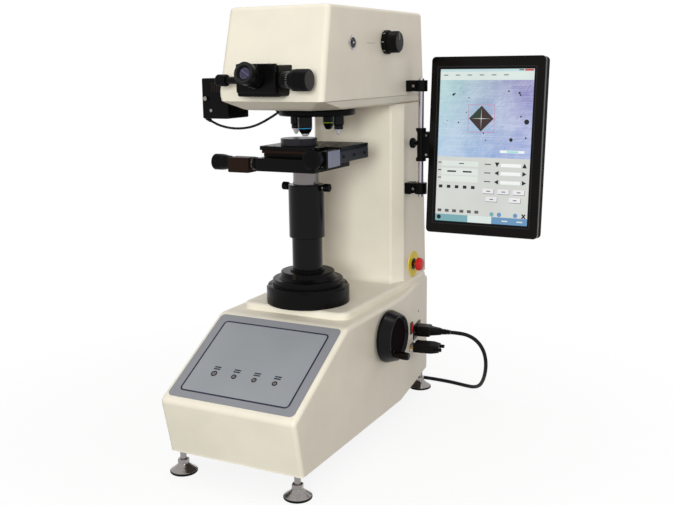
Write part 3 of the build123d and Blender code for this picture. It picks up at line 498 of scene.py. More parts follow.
@dataclass(frozen=True)
class Plane:
    """A plane with its own across, up and outward directions."""

    origin: Vector
    across: Vector
    outward: Vector

    def up(self) -> Vector:
        """Gives the direction up the plane."""
        return self.outward.cross(self.across).normalized()

    def at(self, u: float, v: float, w: float = 0.0) -> Vector:
        """Gives the point at two distances in the plane and one out of it."""
        return self.origin + self.across * u + self.up() * v + self.outward * w

    def moved(self, u: float, v: float, w: float = 0.0) -> "Plane":
        """Gives the same plane with its origin elsewhere."""
        return Plane(self.at(u, v, w), self.across, self.outward)

    def behind(self, depth: float) -> "Plane":
        """Gives the plane a depth behind this one that looks the other way."""
        return Plane(self.at(0, 0, -depth), -self.across, -self.outward)

    def sockets(self) -> Sockets:
        """Gives the inputs that lay a pattern on the plane.

        Returns:
            The place and the turn, by label.
        """
        turn = Matrix((self.across, self.up(), self.outward)).transposed().to_euler()
        return {
            "Place": ("NodeSocketVector", tuple(self.origin * MM)),
            "Turn": ("NodeSocketRotation", tuple(turn)),
        }


def side_of(x: float, y: float, z: float) -> Plane:
    """Gives a plane that looks to the right from a point."""
    return Plane(Vector((x, y, z)), Vector(REAR), Vector(RIGHT))


def front_of(x: float, y: float, z: float) -> Plane:
    """Gives a plane that looks to the front from a point."""
    return Plane(Vector((x, y, z)), Vector(RIGHT), Vector(FRONT))


def top_of(x: float, y: float, z: float) -> Plane:
    """Gives a plane that looks up from a point."""
    return Plane(Vector((x, y, z)), Vector(RIGHT), Vector(UP))


def softened(outline: Sequence[Pair], radius: float, steps: int = 3, closed: bool = True) -> list[Pair]:
    """Rounds an outline's corners.

    Args:
        outline: The corners.
        radius: The rounding, held to under half of the shorter side at each corner.
        steps: How many pieces each rounding has.
        closed: Whether the last corner joins the first.

    Returns:
        The rounded outline, with the same count of points for the same count of corners.
    """
    points = [Vector(p) for p in outline]
    count = len(points)
    made: list[Pair] = []
    for i, here in enumerate(points):
        if not closed and i in (0, count - 1):
            made.append((here.x, here.y))
            continue
        before = points[i - 1] - here
        after = points[(i + 1) % count] - here
        turn = math.pi - before.angle(after)
        reach = min(radius * math.tan(turn / 2), 0.48 * before.length, 0.48 * after.length)
        start = here + before.normalized() * reach
        end = here + after.normalized() * reach
        for k in range(steps + 1):
            t = k / steps
            spot = start * (1 - t) ** 2 + here * 2 * t * (1 - t) + end * t**2
            made.append((spot.x, spot.y))
    return made


def oblong(width: float, height: float, radius: float, middle: Pair = (0, 0), steps: int = 5) -> list[Pair]:
    """Gives a rectangle with rounded corners.

    Args:
        width: Its width.
        height: Its height.
        radius: Its corners' radius.
        middle: Its middle.
        steps: How many pieces each corner has.

    Returns:
        Its outline, anticlockwise.
    """
    made: list[Pair] = []
    for corner, (sx, sy) in enumerate(((1, -1), (1, 1), (-1, 1), (-1, -1))):
        cx = middle[0] + sx * (width / 2 - radius)
        cy = middle[1] + sy * (height / 2 - radius)
        for k in range(steps + 1):
            angle = math.pi / 2 * (corner - 1 + k / steps)
            made.append((cx + radius * math.cos(angle), cy + radius * math.sin(angle)))
    return made


def pin(low: float, high: float, radius: float) -> list[Pair]:
    """Gives the outline of a plain round bar between two places along its axis."""
    return [(low, 0), (low, radius), (high, radius), (high, 0)]


def tube(low: float, high: float, inner: float, outer: float) -> list[Pair]:
    """Gives the outline of a plain ring between two places along its axis."""
    return [(low, inner), (low, outer), (high, outer), (high, inner)]


def spindle(*corners: Pair) -> list[Pair]:
    """Gives the outline of a turned piece, closed on its axis at both ends."""
    return [(corners[0][0], 0), *corners, (corners[-1][0], 0)]


def rolled_under(low: float, radius: float, steps: int) -> list[Pair]:
    """Gives heights and insets of a lower edge that is rolled under."""
    turns = [math.pi / 2 * k / steps for k in range(steps + 1)]
    return [(low + radius * (1 - math.cos(t)), radius * (1 - math.sin(t))) for t in turns]


def rolled_over(high: float, radius: float, steps: int) -> list[Pair]:
    """Gives heights and insets of an upper edge that is rolled over."""
    turns = [math.pi / 2 * k / steps for k in range(steps + 1)]
    return [(high - radius * (1 - math.sin(t)), radius * (1 - math.cos(t))) for t in turns]


def circle(radius: float, middle: Pair, count: int = 16) -> list[Pair]:
    """Gives a circle's outline, anticlockwise."""
    turns = [2 * math.pi * k / count for k in range(count)]
    return [(middle[0] + radius * math.cos(t), middle[1] + radius * math.sin(t)) for t in turns]


def drawn_in(outline: Sequence[Pair], amount: float) -> list[Pair]:
    """Moves an outline inwards, or outwards by a negative amount.

    Args:
        outline: An anticlockwise outline.
        amount: How far each side moves.

    Returns:
        The moved outline, with as many points.
    """
    made: list[Pair] = []
    count = len(outline)
    for i in range(count):
        here = Vector(outline[i])
        before = here - Vector(outline[i - 1])
        after = Vector(outline[(i + 1) % count]) - here
        if before.length < 1e-6 or after.length < 1e-6:
            before = after if before.length < 1e-6 else before
            after = before if after.length < 1e-6 else after
        first = Vector((-before.y, before.x)).normalized()
        second = Vector((-after.y, after.x)).normalized()
        share = max(1 + first.dot(second), 0.35)
        spot = here + (first + second) * (amount / share)
        made.append((spot.x, spot.y))
    return made


def anticlockwise(outline: Sequence[Pair]) -> list[Pair]:
    """Gives an outline the right way round."""
    area = sum(a[0] * b[1] - b[0] * a[1] for a, b in zip(outline, [*outline[1:], outline[0]]))
    return list(outline) if area > 0 else list(reversed(outline))


class Shape:
    """A piece in the making: closed shells in millimetres, each with its finish."""

    def __init__(self, name: str) -> None:
        """Starts an empty piece.

        Args:
            name: The piece's name.
        """
        self.name = name
        self.mesh = bmesh.new()
        self.finishes: list[Finish] = []

    def slot(self, finish: Finish) -> int:
        """Finds or adds a finish's slot.

        Args:
            finish: The finish.

        Returns:
            The number of its slot on this piece.
        """
        if finish not in self.finishes:
            self.finishes.append(finish)
        return self.finishes.index(finish)

    def loft(self, rings: Sequence[Sequence[Vector]], finish: Finish, closed: bool = False) -> None:
        """Joins rings of points into a closed shell.

        Args:
            rings: The rings in order, of as many points each; a ring of one point is a pole.
            finish: Its finish.
            closed: Whether the last ring joins the first, and otherwise both ends are capped.
        """
        slot = self.slot(finish)
        made = [[self.mesh.verts.new(p) for p in ring] for ring in rings]
        faces = []
        pairs = list(zip(made, made[1:])) + ([(made[-1], made[0])] if closed else [])
        for first, second in pairs:
            count = max(len(first), len(second))
            for i in range(count):
                j = (i + 1) % count
                if len(first) == 1:
                    faces.append((first[0], second[j], second[i]))
                elif len(second) == 1:
                    faces.append((first[i], first[j], second[0]))
                else:
                    faces.append((first[i], first[j], second[j], second[i]))
        if not closed:
            faces += [tuple(ring) for ring in (made[0], made[-1]) if len(ring) > 1]
        new = [self.mesh.faces.new(corners) for corners in faces]
        for face in new:
            face.material_index = slot
            face.smooth = True
        bmesh.ops.recalc_face_normals(self.mesh, faces=new)

    def turn(
        self, start: Point, direction: Point, outline: Sequence[Pair], finish: Finish,
        edge: float = 0.35, count: int = 64,
    ) -> None:
        """Turns an outline about an axis.

        Args:
            start: A point on the axis.
            direction: The axis's direction.
            outline: Corners as distance along the axis and radius; radius 0 ends the outline.
            finish: Its finish.
            edge: The rounding of its edges.
            count: How many sides it has around.
        """
        along = Vector(direction).normalized()
        across = along.orthogonal().normalized()
        third = along.cross(across)
        open_ends = outline[0][1] == 0 and outline[-1][1] == 0
        corners = softened(outline, edge, 3, closed=not open_ends)
        rings = []
        for distance, radius in corners:
            middle = Vector(start) + along * distance
            if radius < 1e-4:
                rings.append([middle])
                continue
            turns = [2 * math.pi * k / count for k in range(count)]
            rings.append([middle + (across * math.cos(t) + third * math.sin(t)) * radius for t in turns])
        self.loft(rings, finish, closed=not open_ends)

    def stack(
        self, plane: Plane, levels: Sequence[tuple[Sequence[Pair], float, float]], finish: Finish,
        closed: bool = False,
    ) -> None:
        """Joins outlines that lie one over another.

        Args:
            plane: Where they lie.
            levels: Each outline, how far out of the plane it is and how far it is drawn in.
            finish: Its finish.
            closed: Whether the last joins the first.
        """
        rings = []
        for outline, height, inset in levels:
            rings.append([plane.at(u, v, height) for u, v in drawn_in(outline, inset)])
        self.loft(rings, finish, closed)

    def slab(
        self, outline: Sequence[Pair], plane: Plane, low: float, high: float, finish: Finish,
        edge: float = 0.4, under: Optional[float] = None,
    ) -> None:
        """Makes a plate of an outline, with rounded edges.

        Args:
            outline: The plate's outline in the plane.
            plane: Where it lies.
            low: How far out its underside is.
            high: How far out its top is.
            finish: Its finish.
            edge: The rounding of its top edge.
            under: The rounding of its lower edge, if it differs.
        """
        outline = anticlockwise(outline)
        levels = rolled_under(low, edge if under is None else under, 3) + rolled_over(high, edge, 3)
        self.stack(plane, [(outline, *level) for level in levels], finish)

    def ring_slab(
        self, outer: Sequence[Pair], inner: Sequence[Pair], plane: Plane, low: float, high: float,
        finish: Finish, edge: float = 0.4,
    ) -> None:
        """Makes a plate with a window, from two outlines of as many points.

        Args:
            outer: Its outside.
            inner: Its window.
            plane: Where it lies.
            low: How far out its underside is.
            high: How far out its top is.
            finish: Its finish.
            edge: The rounding of its edges.
        """
        shoulder, rise = 0.3 * edge, high - 0.3 * edge
        levels = [(outer, low, 0.0), (outer, high - edge, 0.0), (outer, rise, shoulder)]
        levels += [(outer, high, edge), (inner, high, -edge), (inner, rise, -shoulder)]
        levels += [(inner, high - edge, 0.0), (inner, low, 0.0)]
        self.stack(plane, levels, finish, closed=True)

    def box(
        self, low: Triple, high: Triple, finish: Finish, edge: float = 0.6, upright: float = 0.8
    ) -> None:
        """Makes a block between two corners, with softened edges.

        Args:
            low: Its lowest corner.
            high: Its highest corner.
            finish: Its finish.
            edge: The rounding of its upper and lower edges.
            upright: The rounding of its upright edges.
        """
        middle = ((low[0] + high[0]) / 2, (low[1] + high[1]) / 2)
        outline = oblong(high[0] - low[0], high[1] - low[1], upright, middle, 3)
        self.slab(outline, top_of(0, 0, 0), low[2], high[2], finish, edge)

    def rod(self, start: Vector, end: Vector, radius: float, finish: Finish, edge: float = 0.3) -> None:
        """Makes a round bar between two points."""
        along = end - start
        self.turn(start, along, pin(0, along.length, radius), finish, edge, 32)

    def publish(self, body: str, *stands_for: str) -> bpy.types.Object:
        """Turns the piece into an object that rides on a body.

        Args:
            body: The body's name.
            *stands_for: The frame's nodes that it replaces.

        Returns:
            The finished object.
        """
        for vertex in self.mesh.verts:
            vertex.co *= MM
        data = bpy.data.meshes.new(self.name)
        self.mesh.to_mesh(data)
        self.mesh.free()
        for finish in self.finishes:
            data.materials.append(finish.material())
        data.set_sharp_from_angle(angle=SHARP_FROM)
        piece = placed(self.name, data)
        weighting = piece.modifiers.new("even_shading", "WEIGHTED_NORMAL")
        weighting.keep_sharp = True
        settle(piece, body, *stands_for)
        return piece


def settle(piece: bpy.types.Object, body: str, *stands_for: str) -> None:
    """Puts a finished object on its body and reports it.

    Args:
        piece: The object.
        body: The body that it rides on.
        *stands_for: The frame's nodes that it replaces.
    """
    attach(piece, body)
    if stands_for:
        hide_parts(*stands_for)
    LOG.info("%s on %s", piece.name, body)


# Repeated pieces made by Geometry Nodes


@dataclass(frozen=True)
class Repeat:
    """Many small equal pieces, made by a node tree whose sizes are its named inputs."""

    name: str
    body: str
    finish: Finish

    def sizes(self) -> Sockets:
        """Gives each input's socket type and value, in metres."""
        raise NotImplementedError

    def grow(self, tree: Tree, inputs: dict[str, Value]) -> Value:
        """Makes the instances in a tree, from the tree's inputs by their names."""
        raise NotImplementedError

    def spots(self) -> list[Vector]:
        """Gives the points that the pieces sit on, where they follow no rule, in metres."""
        return []

    def publish(self) -> None:
        """Builds the tree, evaluates it, keeps the plain mesh and puts it on its body."""
        group = bpy.data.node_groups.new(self.name, "GeometryNodeTree")
        face = group.interface
        for way in ("OUTPUT", "INPUT"):
            face.new_socket("Geometry", in_out=way, socket_type="NodeSocketGeometry")
        wanted = {**self.sizes(), "Material": ("NodeSocketMaterial", self.finish.material())}
        marks = {}
        for label, (kind, _) in wanted.items():
            marks[label] = face.new_socket(label, in_out="INPUT", socket_type=kind).identifier
        tree = Tree(group.nodes, group.links)
        entry = tree.add("NodeGroupInput").socket.node
        inputs = {label: Value(tree, entry.outputs[label]) for label in ["Geometry", *wanted]}
        real = tree.add("GeometryNodeRealizeInstances", {}, {0: self.grow(tree, inputs)})
        dressed = tree.add("GeometryNodeSetMaterial", {}, {0: real, "Material": inputs["Material"]})
        tree.add("NodeGroupOutput", {}, {0: dressed})
        seed = bpy.data.meshes.new(f"{self.name}_spots")
        seed.from_pydata(self.spots(), [], [])
        piece = placed(self.name, seed)
        modifier = piece.modifiers.new("repeat", "NODES")
        modifier.node_group = group
        for label, (_, value) in wanted.items():
            modifier[marks[label]] = value
        evaluated = piece.evaluated_get(bpy.context.evaluated_depsgraph_get())
        data = bpy.data.meshes.new_from_object(evaluated)
        piece.modifiers.clear()
        piece.data = data
        data.name = self.name
        bpy.data.meshes.remove(seed)
        settle(piece, self.body)


def turned_to(direction: Point) -> tuple[str, Triple]:
    """Gives the input that turns upright pieces to a direction."""
    return ("NodeSocketRotation", tuple(Vector(direction).to_track_quat("Z", "X").to_euler()))


def length(size: float) -> tuple[str, float]:
    """Gives the input for a length in millimetres."""
    return ("NodeSocketFloat", size * MM)


def whole(count: int) -> tuple[str, int]:
    """Gives the input for a whole number."""
    return ("NodeSocketInt", count)


def laid(tree: Tree, geometry: Value, inputs: dict[str, Value]) -> Value:
    """Moves and turns a pattern by its Place and Turn inputs."""
    sockets = {"Geometry": geometry, "Translation": inputs["Place"], "Rotation": inputs["Turn"]}
    return tree.add("GeometryNodeTransform", {}, sockets)


def sown(tree: Tree, points: Value, piece: Value, **sockets: Value) -> Value:
    """Sets a piece on each point, with other sockets by their names."""
    wanted = {"Points": points, "Instance": piece, **sockets}
    return tree.add("GeometryNodeInstanceOnPoints", {}, wanted)


def stub(tree: Tree, sides: int, radius: Value, depth: Value) -> Value:
    """Makes a short upright prism or cylinder."""
    sockets = {"Vertices": sides, "Radius": radius, "Depth": depth}
    return tree.add("GeometryNodeMeshCylinder", {}, sockets)


@dataclass(frozen=True)
class Ribs(Repeat):
    """Ribs of a knurl, or ticks of a dial, around an axis."""

    start: Point
    direction: Point
    radius: float
    reach: float
    count: int
    width: float
    depth: float

    def sizes(self) -> Sockets:
        """Gives the ring's sizes and where it stands.

        Returns:
            The inputs by label.
        """
        middle = Vector(self.start) + Vector(self.direction).normalized() * self.reach / 2
        rib = (self.depth * MM, self.width * MM, self.reach * MM)
        return {
            "Count": whole(self.count),
            "Radius": length(self.radius),
            "Rib": ("NodeSocketVector", rib),
            "Place": ("NodeSocketVector", tuple(middle * MM)),
            "Turn": turned_to(self.direction),
        }

    def grow(self, tree: Tree, inputs: dict[str, Value]) -> Value:
        """Sets a rib on each point of a circle and turns the ring to its axis.

        Args:
            tree: The tree that they grow in.
            inputs: Its inputs by label.

        Returns:
            The instances.
        """
        sockets = {"Vertices": inputs["Count"], "Radius": inputs["Radius"]}
        points = tree.add("GeometryNodeMeshCircle", {}, sockets)
        rib = tree.add("GeometryNodeMeshCube", {}, {"Size": inputs["Rib"]})
        here = tree.add("GeometryNodeInputPosition")
        facing = tree.add("FunctionNodeAlignRotationToVector", {"axis": "X"}, {"Vector": here})
        return laid(tree, sown(tree, points, rib, Rotation=facing), inputs)


@dataclass(frozen=True)
class Screws(Repeat):
    """Cap screws with hexagon sockets on stated points, all facing one way."""

    places: Sequence[Point]
    direction: Point
    radius: float
    height: float

    def spots(self) -> list[Vector]:
        """Gives the screws' places."""
        return [Vector(p) * MM for p in self.places]

    def sizes(self) -> Sockets:
        """Gives a screw's sizes and its way."""
        sizes = {"Radius": length(self.radius), "Height": length(self.height)}
        return {**sizes, "Turn": turned_to(self.direction)}

    def grow(self, tree: Tree, inputs: dict[str, Value]) -> Value:
        """Cuts a socket into a head and sets one on each point.

        Args:
            tree: The tree that they grow in.
            inputs: Its inputs by label.

        Returns:
            The instances.
        """
        radius, height = inputs["Radius"], inputs["Height"]
        head = stub(tree, 24, radius, height)
        key = stub(tree, 6, radius * 0.55, height * 1.2)
        lift = tree.add("ShaderNodeCombineXYZ", {}, {2: height * 0.6})
        raised = tree.add("GeometryNodeTransform", {}, {"Geometry": key, "Translation": lift})
        cut = tree.add("GeometryNodeMeshBoolean", {"operation": "DIFFERENCE"}, {0: head, 1: raised})
        return sown(tree, inputs["Geometry"], cut, Rotation=inputs["Turn"])


@dataclass(frozen=True)
class Rows(Repeat):
    """Equal bars in rows and columns on a plane, such as printed dashes, keys and dark bars of painted
    shade for slots.
    """

    plane: Plane
    columns: int
    rows: int
    pitch: Pair
    bar: Triple

    def sizes(self) -> Sockets:
        """Gives the grid's counts and sizes and where it lies.

        Returns:
            The inputs by label.
        """
        return {
            "Columns": whole(self.columns),
            "Rows": whole(self.rows),
            "Across": length(self.pitch[0] * (self.columns - 1)),
            "Up": length(self.pitch[1] * (self.rows - 1)),
            "Bar": ("NodeSocketVector", tuple(Vector(self.bar) * MM)),
            **self.plane.sockets(),
        }

    def grow(self, tree: Tree, inputs: dict[str, Value]) -> Value:
        """Sets a bar on each point of a grid and lays the grid on its plane.

        Args:
            tree: The tree that they grow in.
            inputs: Its inputs by label.

        Returns:
            The instances.
        """
        sockets = {0: inputs["Across"], 1: inputs["Up"], 2: inputs["Columns"], 3: inputs["Rows"]}
        grid = tree.add("GeometryNodeMeshGrid", {}, sockets)
        bar = tree.add("GeometryNodeMeshCube", {}, {"Size": inputs["Bar"]})
        return laid(tree, sown(tree, grid, bar), inputs)


@dataclass(frozen=True)
class Specks(Repeat):
    """Pits scattered over a rectangle with a fixed seed."""

    plane: Plane
    width: float
    height: float
    count: int
    radius: float
    seed: int

    def sizes(self) -> Sockets:
        """Gives the field's sizes, the pits' size and the seed.

        Returns:
            The inputs by label.
        """
        area = self.width * self.height * MM * MM
        return {
            "Width": length(self.width),
            "Height": length(self.height),
            "Density": ("NodeSocketFloat", self.count / area),
            "Radius": length(self.radius),
            "Seed": whole(self.seed),
            **self.plane.sockets(),
        }

    def grow(self, tree: Tree, inputs: dict[str, Value]) -> Value:
        """Scatters thin discs of varied size and lays them on the plane.

        Args:
            tree: The tree that they grow in.
            inputs: Its inputs by label.

        Returns:
            The instances.
        """
        sockets = {0: inputs["Width"], 1: inputs["Height"], 2: 2, 3: 2}
        sheet = tree.add("GeometryNodeMeshGrid", {}, sockets)
        sockets = {0: sheet, "Density": inputs["Density"], "Seed": inputs["Seed"]}
        method = {"distribute_method": "RANDOM"}
        points = tree.add("GeometryNodeDistributePointsOnFaces", method, sockets)
        speck = stub(tree, 8, inputs["Radius"], inputs["Radius"] * 0.1)
        sockets = {2: 0.3, 3: 1.4, "Seed": inputs["Seed"]}
        scale = tree.add("FunctionNodeRandomValue", {"data_type": "FLOAT"}, sockets, 1)
        return laid(tree, sown(tree, points, speck, Scale=scale), inputs)


# The finishes of this machine

CREAM = Paint("cream_enamel", srgb(229, 221, 205), 0.42, 0.035, 1.5, 0.02, 0.45)
# painted shade: a dark fill laid in the head seam, in slots, in a notch and in a hole, where there is only
# shade
SHADOW_GAP = Moulding("painted_gap_shade", srgb(38, 33, 28), 0.8, gloss=0.1)
GREY_SHEET = Paint("grey_printed_sheet", srgb(144, 147, 152), 0.5, 0.012, 0.5, 0.02, 0.25)
SHEET_BORDER = Paint("sheet_border", srgb(135, 136, 142), 0.5, 0.012, 0.5, 0.02, 0.25)
PALE_PRINT = Moulding("pale_print", srgb(166, 164, 160), 0.6, gloss=0.2)
DARK_PRINT = Moulding("dark_print", srgb(38, 40, 58), 0.6, gloss=0.2)
BLACK_GLOSS = Paint("black_enamel_gloss", srgb(9, 8, 8), 0.2, 0.012, 1.6, 0.1, 0.14)
BLACK_SATIN = Paint("black_enamel_satin", srgb(9, 8, 8), 0.27, 0.008, 1.2, 0.1, 0.08)
BROWN_BLACK = Paint("brown_black_lacquer", srgb(13, 6, 8), 0.7, 0.004, 1.4, 0.1, 0.01)
ANODISED = Metal("black_anodised", srgb(10, 9, 9), 0.28, Grain.BLASTED, bright=0.0, gloss=0.08)
BROWN_ANODISED = Metal(
    "brown_black_anodised", srgb(38, 25, 19), 0.38, Grain.BLASTED, bright=0.0, gloss=0.06
)
BLUED_STEEL = Metal("blue_grey_steel", srgb(150, 150, 166), 0.36, Grain.GROUND, REAR, bright=0.9)
DARK_STEEL = Metal("dark_steel", srgb(38, 39, 46), 0.36, Grain.GROUND, REAR, bright=0.6, gloss=0.2)
# partly painted highlight: the tips' steel is near white and only partly metal, so it looks bright as if it
# mirrored the lamps
TIP_STEEL_PAINTED_SHINE = Metal("tip_steel_painted_shine", srgb(236, 230, 232), 0.16, Grain.GROUND, BOTH_WAYS, bright=0.35)
GROUND_STEEL = Metal("ground_steel", srgb(150, 148, 150), 0.3, Grain.GROUND, REAR)
POST_STEEL = Metal("turned_post_steel", srgb(128, 122, 122), 0.24, Grain.TURNED)
STAINLESS = Metal("stainless_steel", srgb(156, 151, 149), 0.2, Grain.GROUND, BOTH_WAYS)
CHROME = Metal("chrome_plate", srgb(196, 190, 200), 0.12, Grain.GROUND, BOTH_WAYS)
BRASS = Metal("turned_brass", srgb(190, 160, 90), 0.3, Grain.TURNED)
CHARCOAL = Metal("charcoal_steel", srgb(13, 12, 13), 0.3, Grain.TURNED, bright=0.12, gloss=0.06)
BLACK_PLASTIC = Moulding("black_plastic", srgb(9, 8, 8), 0.36, relief=0.006, gloss=0.1)
GLOSS_PLASTIC = Paint("black_plastic_gloss", srgb(11, 8, 7), 0.16, 0.006, 2.5, 0.1, 0.1)
CASING_BLACK = Moulding("black_casing", srgb(13, 12, 12), 0.62, relief=0.004, gloss=0.02)
BROWN_PLASTIC = Moulding("brown_grey_plastic", srgb(50, 44, 42), 0.4, gloss=0.15)
RED_PLASTIC = Moulding("red_plastic", srgb(196, 26, 22), 0.3, gloss=0.4)
YELLOW_PLASTIC = Moulding("yellow_plastic", srgb(222, 200, 40), 0.42, gloss=0.4)
SHEATH = Moulding("cable_sheath", srgb(17, 16, 17), 0.5, gloss=0.15)
BOARD = Moulding("circuit_board", srgb(32, 88, 44), 0.45)
PALE_BALL = Moulding("pale_knob", srgb(196, 178, 170), 0.3, gloss=0.5)
BLUE_RING = Moulding("blue_ring", srgb(34, 128, 176), 0.35)
GREEN_RING = Moulding("green_ring", srgb(150, 176, 30), 0.35)
# a grey ring on the eyecup; on the display's lip its paler grey is a painted highlight
GREY_RING_AND_LIP_HIGHLIGHT = Moulding("grey_ring_and_painted_lip_highlight", srgb(34, 34, 36), 0.45, gloss=0.15)


@dataclass
class Studio:
    """The camera where the photograph was taken from, soft lamps and a pale floor."""

    place: Triple = (0.740, -1.3175, 0.6238)
    turn: float = 27.491
    pitch: float = 11.497
    roll: float = -0.703
    lens: float = 49.498
    ambient: float = 0.45
    floor_radius: float = 6.0

    def camera(self) -> None:
        """Sets the camera up."""
        turn, pitch, roll = (math.radians(a) for a in (self.turn, self.pitch, self.roll))
        level = math.cos(pitch)
        forward = Vector((-math.sin(turn) * level, math.cos(turn) * level, -math.sin(pitch)))
        right = forward.cross(Vector(UP)).normalized()
        up = right.cross(forward)
        across = right * math.cos(roll) + up * math.sin(roll)
        upright = up * math.cos(roll) - right * math.sin(roll)
        data = bpy.data.cameras.new("camera")
        data.lens = self.lens
        data.sensor_width = 36.0
        data.sensor_fit = "HORIZONTAL"
        data.clip_start = 0.05
        camera = placed("camera", data)
        axes = Matrix((across, upright, -forward)).transposed().to_4x4()
        camera.matrix_world = Matrix.Translation(self.place) @ axes
        bpy.context.scene.camera = camera

    def seen(self, tree: Tree) -> Value:
        """Gives 1 for rays from the camera, a mirror or through glass.

        Args:
            tree: The tree that asks.

        Returns:
            The mask.
        """
        names = ("Is Camera Ray", "Is Glossy Ray", "Is Transmission Ray")
        camera, glossy, through = (tree.add("ShaderNodeLightPath", {}, {}, name) for name in names)
        return camera.most(glossy).most(through)

    def world(self) -> None:
        """Makes the surroundings white to look at and dimmer as a light."""
        world = bpy.data.worlds.new("surroundings")
        tree = Tree.of(world)
        seen = self.seen(tree)
        strength = seen * (1.0 - self.ambient) + self.ambient
        tone = tree.mix(seen, (1.0, 0.965, 0.93, 1.0), (1.0, 1.0, 1.0, 1.0))
        glow = tree.add("ShaderNodeBackground", {}, {"Color": tone, "Strength": strength})
        tree.add("ShaderNodeOutputWorld", {}, {"Surface": glow})
        bpy.context.scene.world = world

    def lamp(
        self, name: str, place: Triple, aim: Triple, size: float, power: float, colour: Colour
    ) -> bpy.types.Object:
        """Hangs a soft square lamp.

        Args:
            name: Its name.
            place: Where it hangs, in metres.
            aim: What it points at.
            size: The length of its side.
            power: Its power in watts.
            colour: Its colour.

        Returns:
            The lamp.
        """
        data = bpy.data.lights.new(name, "AREA")
        data.shape = "SQUARE"
        data.size = size
        data.energy = power
        data.color = colour[:3]
        lamp = placed(name, data)
        way = Vector(aim) - Vector(place)
        lamp.matrix_world = Matrix.Translation(place) @ way.to_track_quat("-Z", "Y").to_matrix().to_4x4()
        return lamp

    def floor(self) -> None:
        """Lays the pale floor, which keeps the machine's shadow and fades to white."""
        shape = bmesh.new()
        bmesh.ops.create_circle(shape, cap_ends=True, segments=96, radius=self.floor_radius)
        data = bpy.data.meshes.new("floor")
        shape.to_mesh(data)
        shape.free()
        material = bpy.data.materials.new("pale_floor")
        tree = Tree.of(material)
        where = tree.place()
        tone = tree.noise(where, 400.0, 2.0).ramp(0.3, 0.7)
        pale = tree.mix(tone, srgb(246, 246, 247), srgb(250, 250, 250))
        colour = tree.mix(self.seen(tree), srgb(110, 102, 94), pale)
        matte = tree.surface({"Base Color": colour}, {"Roughness": 0.9, "Specular IOR Level": 0.1})
        white = tree.add("ShaderNodeEmission", {}, {"Color": (1, 1, 1, 1), "Strength": 1.0})
        away = tree.vector("LENGTH", where).ramp(320.0, 800.0, 0.86, 1.0)
        blend = tree.add("ShaderNodeMixShader", {}, {0: away * self.seen(tree), 1: matte, 2: white})
        tree.add("ShaderNodeOutputMaterial", {}, {"Surface": blend})
        data.materials.append(material)
        placed("floor", data)

    def build(self) -> None:
        """Sets up everything that isn't the machine."""
        bpy.context.scene.view_settings.view_transform = "Standard"
        self.camera()
        self.world()
        self.floor()
        key = self.lamp("key_lamp", (0.9, -2.66, 0.9), (0, 0, 0.4), 0.9, 59.0, (0.95, 1.0, 0.99, 1))
        fill = self.lamp("fill_lamp", (2.3, 0.45, 1.0), (0, 0.1, 0.35), 1.4, 7.0, (1.0, 0.95, 0.94, 1))
        for soft in (key, fill):
            soft.visible_glossy = False
        self.lamp("top_lamp", (-0.3, 0.2, 2.6), (0, 0, 0.4), 1.2, 13.0, (1.0, 1.0, 0.98, 1))
        self.lamp("glint_lamp", (1.7, -1.9, 1.7), (0, 0, 0.4), 0.35, 4.0, (1.0, 1.0, 1.0, 1))


# The base's main lines, which the printed sheet and the sockets follow too

SLOPE = math.radians(29.56)
SLOPE_POINT: Pair = (-92.6, 221.5)
BASE_HALF, REAR_HALF = 118.6, 90.5
TAPER_START, BASE_REAR = 118.0, 308.0


def slope_height(y: float) -> float:
    """Gives the height of the base's sloping front at a place along the machine."""
    return SLOPE_POINT[1] + (y - SLOPE_POINT[0]) * math.tan(SLOPE)


def tapered_side(along: float, height: float) -> Plane:
    """Gives a plane on the tapered right side of the base.

    Args:
        along: How far past the crease.
        height: How high.

    Returns:
        The plane, its across to the rear and its up upwards.
    """
    outward = Vector((BASE_REAR - TAPER_START, BASE_HALF - REAR_HALF, 0.0)).normalized()
    across = Vector((-outward.y, outward.x, 0.0))
    crease = Vector((BASE_HALF, TAPER_START, height))
    return Plane(crease + across * along, across, outward)


def necked(
    shape: Shape, plane: Plane, sections: Sequence[tuple[float, float, float, float]], finish: Finish
) -> None:
    """Makes a moulded body whose section changes as it comes out of a plane.

    Args:
        shape: The piece that it joins.
        plane: Where it starts.
        sections: How far out, width, height and corner radius of each section.
        finish: Its finish.
    """
    rings = []
    for out, width, height, radius in sections:
        outline = oblong(width, height, min(radius, width / 2, height / 2) * 0.999)
        rings.append([plane.at(u, v, out) for u, v in outline])
    shape.loft(rings, finish)


